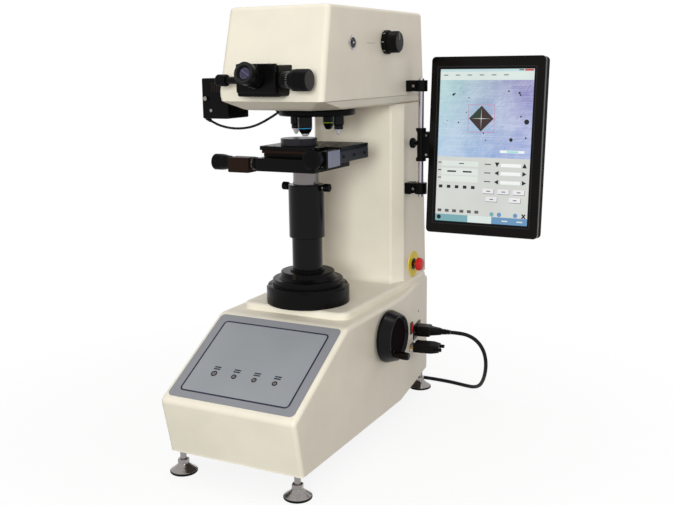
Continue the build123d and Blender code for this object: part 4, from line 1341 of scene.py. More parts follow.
@dataclass
class Cords:
    """The lamp's lead under the arm, and the mains lead with its plugs."""

    lamp_route: tuple[Triple, ...] = (
        (-138.5, -65.8, 536.6), (-129.5, -65.2, 531.8), (-117, -64.2, 527.6), (-99, -63, 524.6),
        (-79, -62, 524.9), (-60, -61.2, 528.4), (-43, -60.4, 535.2), (-30, -59.2, 542.2),
        (-21, -58.0, 547.4), (-14.8, -57.0, 551.6),
    )
    mains_route: tuple[Triple, ...] = (
        (167.9, 235.73, 136.8), (184, 238.1, 136.7), (201, 240.9, 133.6), (216, 245, 123.5),
        (226, 250.5, 106), (228.5, 258.5, 83), (224, 270, 58), (215, 285, 36), (203, 302, 18),
        (187, 317, 7.2), (166, 328, 3.6), (138, 335, 3.6), (104, 338.5, 3.6), (68, 338.5, 3.6),
        (34, 338, 3.6),
    )
    lamp_radius: float = 1.9
    mains_radius: float = 3.5
    coil_middle: Pair = (-6.0, 386.0)
    coil_outer: float = 48.0
    coil_pitch: float = 7.5
    coil_climb: float = 7.6
    coil_turns: int = 6
    coil_points: int = 16
    lead_in: float = 7.0
    tail: float = 50.0

    def coil_point(self, turns: float) -> Triple:
        """Follows the coil's line; it winds in, climbs and winds out.

        Args:
            turns: How many turns from its start.

        Returns:
            The point.
        """
        inward = min(turns, self.coil_turns - turns)
        radius = self.coil_outer - self.coil_pitch * inward
        climb = min(max((turns - self.coil_turns / 2 + 0.25) / 0.5, 0.0), 1.0)
        angle = -math.pi / 2 - 2 * math.pi * turns
        across = self.coil_middle[0] + radius * math.cos(angle)
        return (across, self.coil_middle[1] + radius * math.sin(angle), 3.6 + self.coil_climb * climb)

    def line(self, name: str, route: Sequence[Triple], radius: float) -> bpy.types.Object:
        """Makes a round lead along a smooth line.

        Args:
            name: Its name.
            route: Its control points.
            radius: Its radius.

        Returns:
            The lead as a curve.
        """
        data = bpy.data.curves.new(name, "CURVE")
        data.dimensions = "3D"
        data.bevel_depth = radius * MM
        data.bevel_resolution = 5
        data.use_fill_caps = True
        data.resolution_u = 6
        spline = data.splines.new("NURBS")
        spline.points.add(len(route) - 1)
        for point, place in zip(spline.points, route):
            point.co = (*(Vector(place) * MM), 1.0)
        spline.order_u = 3
        spline.use_endpoint_u = True
        data.materials.append(SHEATH.material())
        return placed(name, data)

    def appliance_plug(self) -> bpy.types.Object:
        """Makes the plug in the machine's inlet, with its grip and its tapered strain relief.

        Returns:
            The plug.
        """
        plug = Shape("appliance_plug")
        start = tapered_side(109.7, 136.8)
        body = [
            (3, 26.3, 18.3, 4), (3.8, 27.5, 19.5, 4), (26, 27.5, 19.5, 4.5), (27, 26.6, 18.8, 5),
            (29, 20, 16, 5), (47, 13, 13, 6),
        ]
        necked(plug, start, body, BLACK_PLASTIC)
        relief = [(0, 0), (0, 6.0)]
        for k in range(6):
            near = 1.0 + 2.8 * k
            outer = 6.0 - 0.095 * near
            relief += [
                (near, outer), (near + 0.4, outer - 1.1), (near + 1.3, outer - 1.1), (near + 1.7, outer)
            ]
        relief += [(17.9, 4.3), (17.9, 0)]
        plug.turn(start.at(0, 0, 46.9), start.outward, relief, BLACK_PLASTIC, 0.25, 32)
        return plug.publish("frame", "power_plug")

    def wall_plug(self, end: Triple) -> bpy.types.Object:
        """Makes the mains plug that lies at the lead's end.

        Args:
            end: Where the lead enters it.

        Returns:
            The plug.
        """
        plug = Shape("wall_plug")
        x, y, z = end
        neck = [(0, 0), (0, 4.2)]
        for k in range(6):
            near = 1.5 + 3.0 * k
            outer = 4.2 + 0.105 * near
            neck += [
                (near, outer), (near + 0.4, outer - 0.8), (near + 1.4, outer - 0.8), (near + 1.8, outer)
            ]
        neck += [(22, 6.5), (22, 0)]
        plug.turn(end, LEFT, neck, BLACK_PLASTIC, 0.2, 32)
        away = Plane(Vector(end), Vector(FRONT), Vector(LEFT))
        half = z - 0.2
        body = [(20, 20, 1.4 * half, 5), (22, 30, 1.9 * half, 4), (24, 32, 2 * half, 4)]
        body += [(60.6, 32, 2 * half, 4), (62, 30.5, 1.9 * half, 4)]
        necked(plug, away, body, BLACK_PLASTIC)
        for shift in (-6.35, 6.35):
            plug.box(
                (x - 79, y + shift - 0.8, z - 3.2), (x - 61, y + shift + 0.8, z + 3.2), BRASS, 0.4, 0.4
            )
        plug.rod(Vector((x - 61, y - 11.5, z)), Vector((x - 81, y - 11.5, z)), 2.4, BRASS, 0.8)
        return plug.publish("frame", "mains_plug")

    def build(self) -> None:
        lamp = self.line("lamp_lead_line", self.lamp_route, self.lamp_radius)
        settle(lamp, "frame", "lamp_lead")
        start, end = self.coil_point(0), self.coil_point(self.coil_turns)
        route = [*self.mains_route, (start[0] + self.lead_in, start[1], start[2])]
        for step in range(self.coil_turns * self.coil_points + 1):
            route.append(self.coil_point(step / self.coil_points))
        route += [(end[0] - self.tail / 2, end[1], end[2]), (end[0] - self.tail, end[1], end[2])]
        mains = self.line("mains_lead", route, self.mains_radius)
        settle(mains, "frame", "power_lead", "power_coil")
        plugs = [self.appliance_plug(), self.wall_plug((end[0] - self.tail - 0.05, end[1], end[2]))]


@dataclass
class Housing:
    """The painted castings: the base with its plinth, the column, the arm and the head cover."""

    floor: float = 40.7
    front: float = -238.0
    knee: float = -258.0
    ledge: float = 224.0
    corner: float = 7.0
    plinth_top: float = 235.5
    column_half: float = 90.0
    column_front: float = 171.5
    column_rear: float = 285.3
    rake: float = 0.0578
    chamfer: Pair = (15.0, 24.5)
    foot_cove: float = 13.0
    arm_cove: float = 18.0
    arm_bottom: float = 555.0
    arm_top: float = 569.5
    head_top: float = 712.0

    def base(self) -> None:
        """Makes the base's shell and rounds its edges."""
        shape = Shape("base_shell")
        slot = shape.slot(CREAM)
        ridge = SLOPE_POINT[0] + (self.ledge - SLOPE_POINT[1]) / math.tan(SLOPE)
        profile = [(self.front, self.floor), (self.knee, slope_height(self.knee)), (ridge, self.ledge)]
        profile += [(TAPER_START, self.ledge), (BASE_REAR, self.ledge)]
        profile += [(BASE_REAR, self.floor), (TAPER_START, self.floor)]
        halves = [REAR_HALF if k in (4, 5) else BASE_HALF for k in range(7)]
        rows = []
        for side in (-1, 1):
            rows.append([shape.mesh.verts.new((side * h, y, z)) for h, (y, z) in zip(halves, profile)])
        faces = []
        for row in rows:
            faces += [[row[k] for k in (0, 1, 2, 3, 6)], [row[k] for k in (3, 4, 5, 6)]]
        for k in range(7):
            m = (k + 1) % 7
            faces.append([rows[0][k], rows[0][m], rows[1][m], rows[1][k]])
        made = [shape.mesh.faces.new(corners) for corners in faces]
        bmesh.ops.recalc_face_normals(shape.mesh, faces=made)
        edges = []
        for edge in shape.mesh.edges:
            ends = [v.co for v in edge.verts]
            low = all(p.z < self.floor + 1 for p in ends)
            back = all(p.y > BASE_REAR - 1 for p in ends)
            if not low and not back and edge.calc_face_angle() > math.radians(12):
                edges.append(edge)
        bmesh.ops.bevel(
            shape.mesh, geom=edges, offset=self.corner, offset_type="OFFSET", segments=6, profile=0.5,
            affect="EDGES", clamp_overlap=False,
        )
        for face in shape.mesh.faces:
            face.material_index = slot
            face.smooth = True
        self.plinth(shape)
        self.column(shape)
        shape.publish("frame", "base_housing", "column_housing")

    def plinth(self, shape: Shape) -> None:
        """Makes the raised plinth with its rolled rim.

        Args:
            shape: The base's shell.
        """
        side = 98.0
        slant = (BASE_HALF - REAR_HALF) / (BASE_REAR - TAPER_START)
        narrow = TAPER_START + (BASE_HALF - 0.6 - side) / slant
        rear, rear_half = BASE_REAR - 0.6, REAR_HALF - 0.4
        corners = [(-side, -56.0), (side, -56.0), (side, narrow), (rear_half, rear)]
        corners += [(-rear_half, rear), (-side, narrow)]
        rings = []
        for height, inset in [(self.ledge - 6, 0.0), *rolled_over(self.plinth_top, 7.0, 5)]:
            outline = drawn_in(softened(corners, 22.0, 8), inset)
            rings.append([Vector((x, min(y, rear), height)) for x, y in outline])
        shape.loft(rings, CREAM)

    def raked_back(self, z: float) -> float:
        """Gives how far back the column's leaning rear is at a height."""
        return self.column_rear + (self.arm_bottom - z) * self.rake

    def column(self, shape: Shape) -> None:
        """Makes the column, whose front sweeps out into the plinth and the arm.

        Args:
            shape: The base's shell.
        """
        levels = rolled_under(self.plinth_top, self.foot_cove, 8)
        levels += rolled_over(self.arm_bottom, self.arm_cove, 8)
        half, deep = self.column_half, self.column_front + self.chamfer[1]
        inner = half - self.chamfer[0]
        rings = []
        for z, sweep in levels:
            front, rear = self.column_front - sweep, self.raked_back(z)
            corners = [(-inner, front), (inner, front), (half, deep), (half, rear), (-half, rear)]
            outline = softened([*corners, (-half, deep)], 6.0, 4)
            rings.append([Vector((x, y, z)) for x, y in outline])
        shape.loft(rings, CREAM)

    def arm(self) -> None:
        """Makes the arm, a flared slab with a full round along its lower edge."""
        shape = Shape("arm")
        lower = [(86, 281), (86, -30), (58, -84), (-58, -84), (-86, -30), (-86, 281)]
        upper = [(91, 281), (91, -103), (83, -111), (-83, -111), (-91, -103), (-91, 281)]
        first, last = (softened(anticlockwise(outline), 7.0, 5) for outline in (lower, upper))
        top = self.arm_top - 0.15
        rings = []
        for z, inset in rolled_under(self.arm_bottom, 4.5, 5) + rolled_over(top, 0.5, 4):
            share = (z - self.arm_bottom) / (self.arm_top - self.arm_bottom)
            blend = [
                (a[0] + (b[0] - a[0]) * share, a[1] + (b[1] - a[1]) * share) for a, b in zip(first, last)
            ]
            rings.append([Vector((x, y, z)) for x, y in drawn_in(blend, inset)])
        shape.loft(rings, CREAM)
        # painted shade: a dark box shows in the seam between the arm and the head cover
        shape.box((-83, -99, top - 2), (83, 276, self.arm_top + 1), SHADOW_GAP, 0.2, 6.0)
        gland = [(0, 0), (0, 2.9), (-5, 3.4), (-5, 0)]
        shape.turn((-14.8, -57.0, 556.0), (0.53, 0.086, 0.36), gland, BLACK_PLASTIC)
        shape.publish("frame", "arm_casting")

    def head(self) -> None:
        """Makes the head cover, drawn in towards its top."""
        shape = Shape("head_cover_shell")
        bottom = self.arm_top + 0.15
        levels = [(bottom, 0.4), (bottom + 0.4, 0.0)]
        levels += [(height, 0.0) for height in (572.0, 575.0, 580.0, 585.0, 590.0, 640.0, 680.0)]
        levels += rolled_over(self.head_top, 6.0, 7)
        rings = []
        for z, inset in levels:
            share = (z - self.arm_top) / (self.head_top - self.arm_top)
            half, front, rear = 93 - 5 * share, -113 + 35 * share, 283 - 2 * share
            outline = oblong(2 * half, rear - front, 9.0, (0, (rear + front) / 2), 7)
            left_tuck = 6.0 * max(0.0, 1 - (z - bottom) / 19.0) ** 2
            ring = []
            for x, y in drawn_in(outline, inset):
                share_left = min(max(-x / half, 0.0), 1.0)
                ring.append(Vector((x + left_tuck * share_left, y, z)))
            rings.append(ring)
        shape.loft(rings, CREAM)
        port = side_of(90.0, -9.2, 656.3)
        shape.slab([(11.5, 0), (0, 11.5), (-11.5, 0), (0, -11.5)], port, -3.0, 2.4, CHROME, 0.8)
        # painted shade: a black disc stands for the dark recess of the port, inside the chrome diamond
        shape.turn(port.origin, RIGHT, spindle((0, 8.0), (3.0, 8.0), (3.3, 7.6)), BLACK_GLOSS, 0.1)
        shape.turn(port.origin, RIGHT, spindle((2, 2.0), (3.9, 1.4)), CHROME, 0.1, 16)
        line = side_of(90.15, 61.0, 656.6)
        shape.slab(oblong(30.0, 0.9, 0.3), line, -0.6, 0.0, PALE_PRINT, 0.1)
        shape.publish("frame", "head_cover")

    def rear_panel(self) -> None:
        """Makes the cover plate on the column's raked back, with its screws and dark bars of painted shade
        for slots.
        """
        middle = 400.0
        centre = Vector((0, self.raked_back(middle), middle))
        plane = Plane(centre, Vector(LEFT), Vector((0, 1, self.rake)).normalized())
        shape = Shape("rear_cover_plate")
        shape.slab(oblong(124, 200, 6), plane, 0.0, 1.5, CREAM, 0.6, 0.05)
        shape.publish("frame", "rear_cover")
        # painted shade: the slots are dark bars laid on the plate
        slots = plane.moved(0, 52, 1.35)
        Rows("rear_cover_slots", "frame", SHADOW_GAP, slots, 2, 8, (44.0, 7.5), (34.0, 2.4, 0.5)).publish()
        corners = [plane.at(u, v, 2.3) for u in (-55, 55) for v in (-93, 93)]
        Screws("rear_cover_screws", "frame", STAINLESS, corners, plane.outward, 3.4, 2.2).publish()

    def build(self) -> None:
        """Makes the painted castings."""
        self.base()
        self.arm()
        self.head()
        self.rear_panel()


@dataclass
class ControlPanel:
    """The grey printed sheet on the sloping front, with its four lamps."""

    middle_y: float = -170.35
    width: float = 222.0
    height: float = 179.2
    thick: float = 0.9
    frame_rows: Pair = (-77.0, 75.6)
    frame_width: float = 193.0
    lamp_row: float = -35.7
    lamp_places: tuple[float, ...] = (-55.15, -19.05, 17.05, 53.15)
    lamp_radii: tuple[float, ...] = (5.0, 4.1, 4.1, 4.1)

    def plane(self) -> Plane:
        """Gives the plane that the sheet lies on."""
        middle = Vector((0, self.middle_y, slope_height(self.middle_y)))
        return Plane(middle, Vector(RIGHT), Vector((0, -math.sin(SLOPE), math.cos(SLOPE))))

    def build(self) -> None:
        """Makes the sheet, its frame line, the lamps and their plain marks."""
        plane = self.plane()
        sheet = Shape("panel_sheet")
        sheet.slab(
            oblong(self.width, self.height, 8), plane, 0.0, self.thick - 0.1, SHEET_BORDER, 0.3, 0.05
        )
        low, high = self.frame_rows
        middle, tall = (low + high) / 2, high - low
        outer = oblong(self.frame_width, tall, 7.5, (0, middle), 5)
        inner = oblong(self.frame_width - 5.6, tall - 5.6, 4.7, (0, middle), 5)
        sheet.slab(outer, plane, 0.4, self.thick - 0.05, GREY_SHEET, 0.05)
        sheet.ring_slab(outer, inner, plane, 0.4, self.thick, DARK_PRINT, 0.02)
        sheet.publish("frame", "panel_overlay")
        marks = plane.moved(sum(self.lamp_places) / 4, self.lamp_row + 11.5, self.thick - 0.1)
        pitch = self.lamp_places[1] - self.lamp_places[0]
        Rows("panel_marks", "frame", DARK_PRINT, marks, 4, 2, (pitch, 4.0), (11.5, 2.4, 0.3)).publish()
        lamps = Shape("indicator_lamp_caps")
        for across, radius in zip(self.lamp_places, self.lamp_radii):
            start, way = tuple(plane.at(across, self.lamp_row)), plane.outward
            ring = tube(0, 1.5, radius - 1.1, radius + 0.2)
            lamps.turn(start, way, ring, BLACK_SATIN, 0.2, 40)
            # painted reflection: each cap's paler rim and streak are painted into its colour by the Lens
            # finish
            cap = Lens(f"lamp_cap_{across:.0f}", srgb(88, 80, 82), srgb(126, 120, 124), start, radius)
            lamps.turn(start, way, spindle((0, radius - 0.9), (1.2, radius - 0.9), (1.7, radius - 2)), cap)
        lamps.publish("frame", "indicator_lamps")


@dataclass
class Elevator:
    """The stepped flange, the sleeves, the post and the thumb screws."""

    sleeve_bottom: float = 344.6
    sleeve_top: float = 432.0
    post_radius: float = 21.35
    stage_bottom: float = 457.0
    screw_height: float = 427.5

    def flange(self) -> None:
        """Makes the flange's tiers and the lower sleeve."""
        shape = Shape("stepped_flange")
        tiers = [
            (45, 18.2), (45, 69.3), (71.0, 69.3), (73.5, 66.8), (75.6, 66.8), (75.6, 58.7), (84.8, 58.7),
            (86.0, 57.5), (86.0, 49.5), (90.0, 44.75), (96.8, 44.75), (98.0, 43.5), (98.0, 29.25),
            (101.0, 29.25), (101.0, 18.2),
        ]
        shape.turn((0, 0, 190.0), UP, tiers, BLACK_SATIN, 0.6, 128)
        sleeve = [(0, 21.5), (0, 25.1), (74, 25.1), (75, 24.1), (75, 21.5)]
        shape.turn((0, 0, 291), UP, sleeve, BLACK_GLOSS, 0.4, 96)
        # painted shade: a dark block stands for the hollow of a small notch in the flange
        shape.box((-3.0, -46.5, 279.5), (3.0, -42.0, 288.3), SHADOW_GAP, 0.3, 0.3)
        shape.publish("frame", "column_flange")
        turns = [math.radians(30 + 60 * k) for k in range(6)]
        holes = [(62.8 * math.cos(t), 62.8 * math.sin(t), 265.3) for t in turns]
        Screws("flange_screws", "frame", ANODISED, holes, UP, 3.0, 1.6).publish()

    def sleeve(self) -> None:
        """Makes the upper sleeve that rides over the lower one."""
        shape = Shape("upper_sleeve_turned")
        height = self.sleeve_top - self.sleeve_bottom
        outline = [
            (0, 25.5), (0, 28.7), (0.8, 29.5), (height - 1, 29.5), (height, 28.5), (height, 18.02),
            (height - 11, 18.02), (height - 11, 25.5),
        ]
        shape.turn((0, 0, self.sleeve_bottom), UP, outline, BLACK_GLOSS, 0.35, 96)
        shape.publish("lift", "upper_sleeve")

    def post(self) -> None:
        """Makes the elevating screw with its polished post."""
        shape = Shape("elevating_post")
        shape.turn((0, 0, 95), UP, spindle((0, 16), (2, 18), (330, 18)), POST_STEEL, 0.4, 64)
        low = self.sleeve_top
        outline = spindle(
            (-3, self.post_radius - 0.6), (0, self.post_radius - 0.6), (0.6, self.post_radius),
            (self.stage_bottom - low, self.post_radius),
        )
        shape.turn((0, 0, low), UP, outline, POST_STEEL, 0.2, 96)
        shape.publish("lift", "elevating_screw")

    def thumb_screw(self, name: str, side: int) -> None:
        """Makes a thumb screw with a knurled head.

        Args:
            name: Which side it is on.
            side: 1 to the right, -1 to the left.
        """
        body = f"sleeve_screw_{name}"
        shape = Shape(f"thumb_screw_{name}")
        start, way = (side * 19.0, 0, self.screw_height), (side, 0, 0)
        shape.turn(start, way, pin(0, 12, 2.5), STAINLESS, 0.2, 24)
        collar = STAINLESS if side > 0 else ANODISED
        shape.turn(start, way, pin(11.2, 14.6, 4.5), collar, 0.3, 32)
        head = spindle((14.5, 5.9), (15.1, 6.3), (23.8, 6.3), (25, 5.4))
        shape.turn(start, way, head, ANODISED, 0.4, 48)
        shape.publish(body, body)
        grips = (side * 34.6, 0, self.screw_height)
        Ribs(f"thumb_knurl_{name}", body, ANODISED, grips, way, 6.25, 8.6, 36, 0.6, 0.8).publish()

    def build(self) -> None:
        """Makes the elevating gear that shows."""
        self.flange()
        self.sleeve()
        self.post()
        self.thumb_screw("left", -1)
        self.thumb_screw("right", 1)


@dataclass
class Handwheel:
    """The handwheel with its turning crank grip."""

    y: float = 51.5
    z: float = 174.3
    crank: Pair = (28.0, 151.5)

    def build(self) -> None:
        """Makes the wheel with its flat face, the crank pin and the grip."""
        wheel = Shape("handwheel_turned")
        start = (119.4, self.y, self.z)
        rim = [
            (0, 8), (0, 14), (2.6, 14), (2.6, 43.4), (4.0, 44.6), (7.5, 44.6), (24.2, 39.4), (25.6, 38.2),
            (25.6, 36.8), (24.6, 35.6), (20.6, 34.0), (20.3, 30), (20.3, 13), (20.6, 12), (20.6, 8),
        ]
        wheel.turn(start, RIGHT, rim, BLACK_GLOSS, 0.7, 128)
        wheel.turn(start, RIGHT, pin(20.0, 20.75, 33.0), BROWN_BLACK, 0.2, 96)
        crank = (0, *self.crank)
        wheel.turn(crank, RIGHT, spindle((139, 5.6), (144.6, 5.6), (145.3, 5.0)), BLACK_GLOSS, 0.3, 32)
        wheel.turn(crank, RIGHT, pin(145, 168.5, 3.0), STAINLESS, 0.2, 24)
        wheel.publish("wheel", "handwheel")
        grip = Shape("crank_grip_turned")
        outline = spindle(
            (24, 3.06), (0, 3.06), (0, 5.2), (1.5, 5.8), (7, 6.0), (12, 6.4), (18, 6.7), (23, 6.6),
            (25.4, 6.0), (26.4, 4.6),
        )
        grip.turn((145.6, *self.crank), RIGHT, outline, GLOSS_PLASTIC, 0.6, 48)
        grip.publish("grip", "crank_grip")


@dataclass
class Stage:
    """The crossed slides with their micrometer knobs and the round anvil."""

    x_axis: Pair = (-46.5, 468.0)
    y_axis: Pair = (56.3, 481.8)
    anvil_x: float = -12.0

    def base(self) -> None:
        """Makes the stage's fixed block and the micrometer housing on its left."""
        shape = Shape("stage_block")
        shape.box((-60, -60, 457), (48, 66, 478), ANODISED, 0.8, 3.0)
        shape.publish("lift", "stage_base")
        drive = Shape("micrometer_housing")
        drive.box((-113, -60, 453), (-73, -33, 477.6), BROWN_ANODISED, 1.8, 1.6)
        barrel = spindle((0, 9), (2, 9), (2, 10.5), (9, 10.5), (9, 9), (13, 9))
        drive.turn((-73, *self.x_axis), RIGHT, barrel, ANODISED, 0.4, 48)
        drive.publish("lift", "x_drive_housing")

    def x_knob(self) -> None:
        """Makes the left micrometer knob with its dial and knurl."""
        knob = Shape("x_micrometer_knob")
        start = (-146, *self.x_axis)
        outline = spindle(
            (0, 12.2), (1, 12.75), (20, 12.75), (21, 12.2), (22, 12.2), (27, 11.2), (32.6, 10.6)
        )
        knob.turn(start, RIGHT, outline, ANODISED, 0.4, 64)
        knob.turn(start, RIGHT, spindle((32, 4), (174, 4), (175, 3)), GROUND_STEEL, 0.3, 24)
        knob.publish("x_knob", "x_knob")
        grips, ticks = (-144.6, *self.x_axis), (-70.8, *self.x_axis)
        Ribs("x_knob_knurl", "x_knob", ANODISED, grips, RIGHT, 12.75, 14, 60, 0.7, 0.8).publish()
        Ribs("x_barrel_ticks", "lift", PALE_PRINT, ticks, RIGHT, 10.45, 3.0, 28, 0.3, 0.2).publish()

    def y_knob(self) -> None:
        """Makes the front micrometer knob."""
        knob = Shape("y_micrometer_knob")
        start = (self.y_axis[0], -85, self.y_axis[1])
        outline = spindle((0.5, 14.8), (1.6, 15.6), (13, 15.6), (14, 15), (14, 9), (16.8, 8))
        knob.turn(start, REAR, outline, ANODISED, 0.5, 72)
        knob.turn(start, REAR, spindle((0, 11.6), (0.4, 12.1), (2, 12.1)), CHARCOAL, 0.2, 48)
        knob.turn(start, REAR, spindle((16, 2.5), (106, 2.5), (107, 1.5)), GROUND_STEEL, 0.2, 24)
        knob.publish("y_knob", "y_knob")
        grips = (self.y_axis[0], -83.6, self.y_axis[1])
        Ribs("y_knob_knurl", "y_knob", ANODISED, grips, REAR, 15.6, 11, 72, 0.7, 0.8).publish()

    def slides(self) -> None:
        """Makes the lower slide with its bracket and the upper slide."""
        lower = Shape("cross_slide_plate")
        lower.box((-58, -36, 478.3), (62.7, 78, 483.5), ANODISED, 0.5, 1.0)
        lower.box((62.7, -22, 471), (74.7, 80, 488.7), DARK_STEEL, 0.7, 0.8)
        lower.box((62.7, -62, 467), (74.7, -22, 492.6), BLUED_STEEL, 0.7, 0.8)
        lower.box((44, -68, 465), (74.7, -62, 492.6), ANODISED, 0.8, 0.8)
        lower.box((-45, 8.06, 470.06), (33, 27.94, 479), GROUND_STEEL, 0.3, 0.5)
        lower.publish("cross_slide", "x_slide")
        front = ((66.5, -68.5, 488.5), (66.5, -68.5, 470.5))
        Screws("bracket_front_screws", "cross_slide", STAINLESS, front, FRONT, 2.3, 1.4).publish()
        sides = ((74.9, -10.0, 480.0), (74.9, 28.0, 480.0), (74.9, 66.0, 480.0))
        Screws("bracket_side_screws", "cross_slide", ANODISED, sides, RIGHT, 2.6, 1.2).publish()
        upper = Shape("stage_top_plate")
        outline = [(-63.6, -39.4), (46, -39.4), (46, -19), (74.7, -19), (74.7, 80), (-63.6, 80)]
        upper.slab(softened(outline, 1.5), top_of(0, 0, 0), 489.0, 495.6, ANODISED, 0.6)
        upper.box((-61, -37, 483.8), (44, 78, 489.2), BROWN_ANODISED, 0.5, 0.8)
        upper.box((-20, -25, 479.86), (0, 65, 484), GROUND_STEEL, 0.3, 0.4)
        upper.box((51, -15, 478.4), (61.6, -3, 489.2), GROUND_STEEL, 0.3, 0.4)
        upper.publish("table", "stage_top")
        corners = ((-56.0, -32.0, 495.9), (38.0, -32.0, 495.9), (-56.0, 72.0, 495.9), (67.0, 72.0, 495.9))
        Screws("stage_top_screws", "table", STAINLESS, corners, UP, 2.6, 1.2).publish()

    def anvil(self) -> None:
        """Makes the round anvil with its turned top."""
        shape = Shape("round_anvil")
        finish = Metal(
            "anvil_steel", srgb(42, 41, 45), 0.3, Grain.TURNED, UP, (self.anvil_x, 0, 0), 0.5, 0.2
        )
        start = (self.anvil_x, 0, 490.6)
        outline = spindle((0, 8), (5.05, 8), (5.05, 29.6), (5.5, 30), (15.6, 30), (16.4, 29.2))
        shape.turn(start, UP, outline, finish, 0.3, 96)
        shape.publish("table", "anvil")

    def build(self) -> None:
        """Makes the whole stage."""
        self.base()
        self.x_knob()
        self.y_knob()
        self.slides()
        self.anvil()


@dataclass
class Turret:
    """The revolving disc with two objectives and two indenters."""

    y: float = 40.2
    station: float = 40.2
    radius: float = 63.4
    bottom: float = 542.0

    def hang(self, shape: Shape, x: float, y: float, *sections: tuple[list[Pair], Finish, float]) -> None:
        """Turns sections that hang from the disc, each with its finish and edge rounding."""
        for outline, finish, edge in sections:
            shape.turn((x, y, self.bottom + 7.5), DOWN, outline, finish, edge, 56)

    def disc(self) -> None:
        """Makes the disc and its hub."""
        shape = Shape("turret_plate")
        r = self.radius
        outline = spindle(
            (0, r - 1.5), (1.5, r), (8.5, r), (10, r - 1.5), (10, 40), (12.8, 38), (12.8, 12), (19.3, 12),
            (19.3, 18), (25, 18), (26, 17),
        )
        shape.turn((0, self.y, self.bottom), UP, outline, CHARCOAL, 0.5, 128)
        shape.publish("turret", "turret_disc")
        knurl = (0, self.y, self.bottom + 2.2)
        Ribs("turret_knurl", "turret", CHARCOAL, knurl, UP, r - 0.35, 5.6, 150, 1.2, 0.8).publish()

    def objectives(self) -> None:
        """Makes both objectives with their coloured rings."""
        near, far = self.y - self.station, self.y + self.station
        shape = Shape("long_objective")
        # painted reflection: the lens's paler rim and streak are painted into its colour
        lens = Lens("long_objective_lens", srgb(52, 40, 86), srgb(196, 184, 214), (0, near, 510.2), 4.4)
        self.hang(
            shape, 0, near,
            (spindle((0, 7), (7.5, 7), (7.5, 11), (9, 11.6), (24, 11.6)), BLACK_GLOSS, 0.25),
            (pin(23.8, 26, 11.3), BLACK_SATIN, 0.25),
            (pin(25.9, 27.3, 11.65), BLUE_RING, 0.1),
            (spindle((27.2, 11.3), (33, 9.2), (33, 8.0), (35.4, 6.9)), BLACK_GLOSS, 0.25),
            # the tip ring's brightness is partly painted highlight
            (spindle((35.2, 6.8), (37, 6.2), (38.4, 5.0)), TIP_STEEL_PAINTED_SHINE, 0.25),
            (spindle((38, 4.6), (39.3, 4.1)), lens, 0.25),
        )
        shape.publish("turret", "objective_long")
        grips = (0, near, 532.5)
        Ribs("long_objective_knurl", "turret", BLACK_GLOSS, grips, UP, 11.5, 5.5, 60, 0.5, 0.3).publish()
        shape = Shape("short_objective")
        # painted reflection: the lens's paler rim and streak are painted into its colour
        lens = Lens("short_objective_lens", srgb(40, 44, 70), srgb(190, 196, 206), (0, far, 515.7), 4.0)
        self.hang(
            shape, 0, far,
            (spindle((0, 7), (7.5, 7), (7.5, 9.2), (8.5, 9.75), (21.6, 9.75)), BLACK_GLOSS, 0.25),
            (pin(21.5, 22.9, 9.7), GREEN_RING, 0.1),
            (spindle((22.8, 9.6), (28, 8), (33.0, 5)), BLACK_GLOSS, 0.25),
            (spindle((32.6, 4.2), (33.8, 3.9)), lens, 0.25),
        )
        shape.publish("turret", "objective_short")

    def indenters(self) -> None:
        """Makes both indenters, with their diamond holders."""
        shape = Shape("diamond_indenters")
        body = spindle((0, 7), (7.5, 7), (7.5, 9), (22, 9), (24, 7.5), (30, 7.5))
        tip = spindle((29.8, 7.0), (36, 4.0), (38, 3.4), (39.5, 0.6))
        for side in (-1, 1):
            # the tips' brightness is partly painted highlight
            sections = (body, BLACK_GLOSS, 0.4), (tip, TIP_STEEL_PAINTED_SHINE, 0.15)
            self.hang(shape, side * self.station, self.y, *sections)
        shape.publish("turret", "indenters")

    def build(self) -> None:
        """Makes the turret."""
        self.disc()
        self.objectives()
        self.indenters()


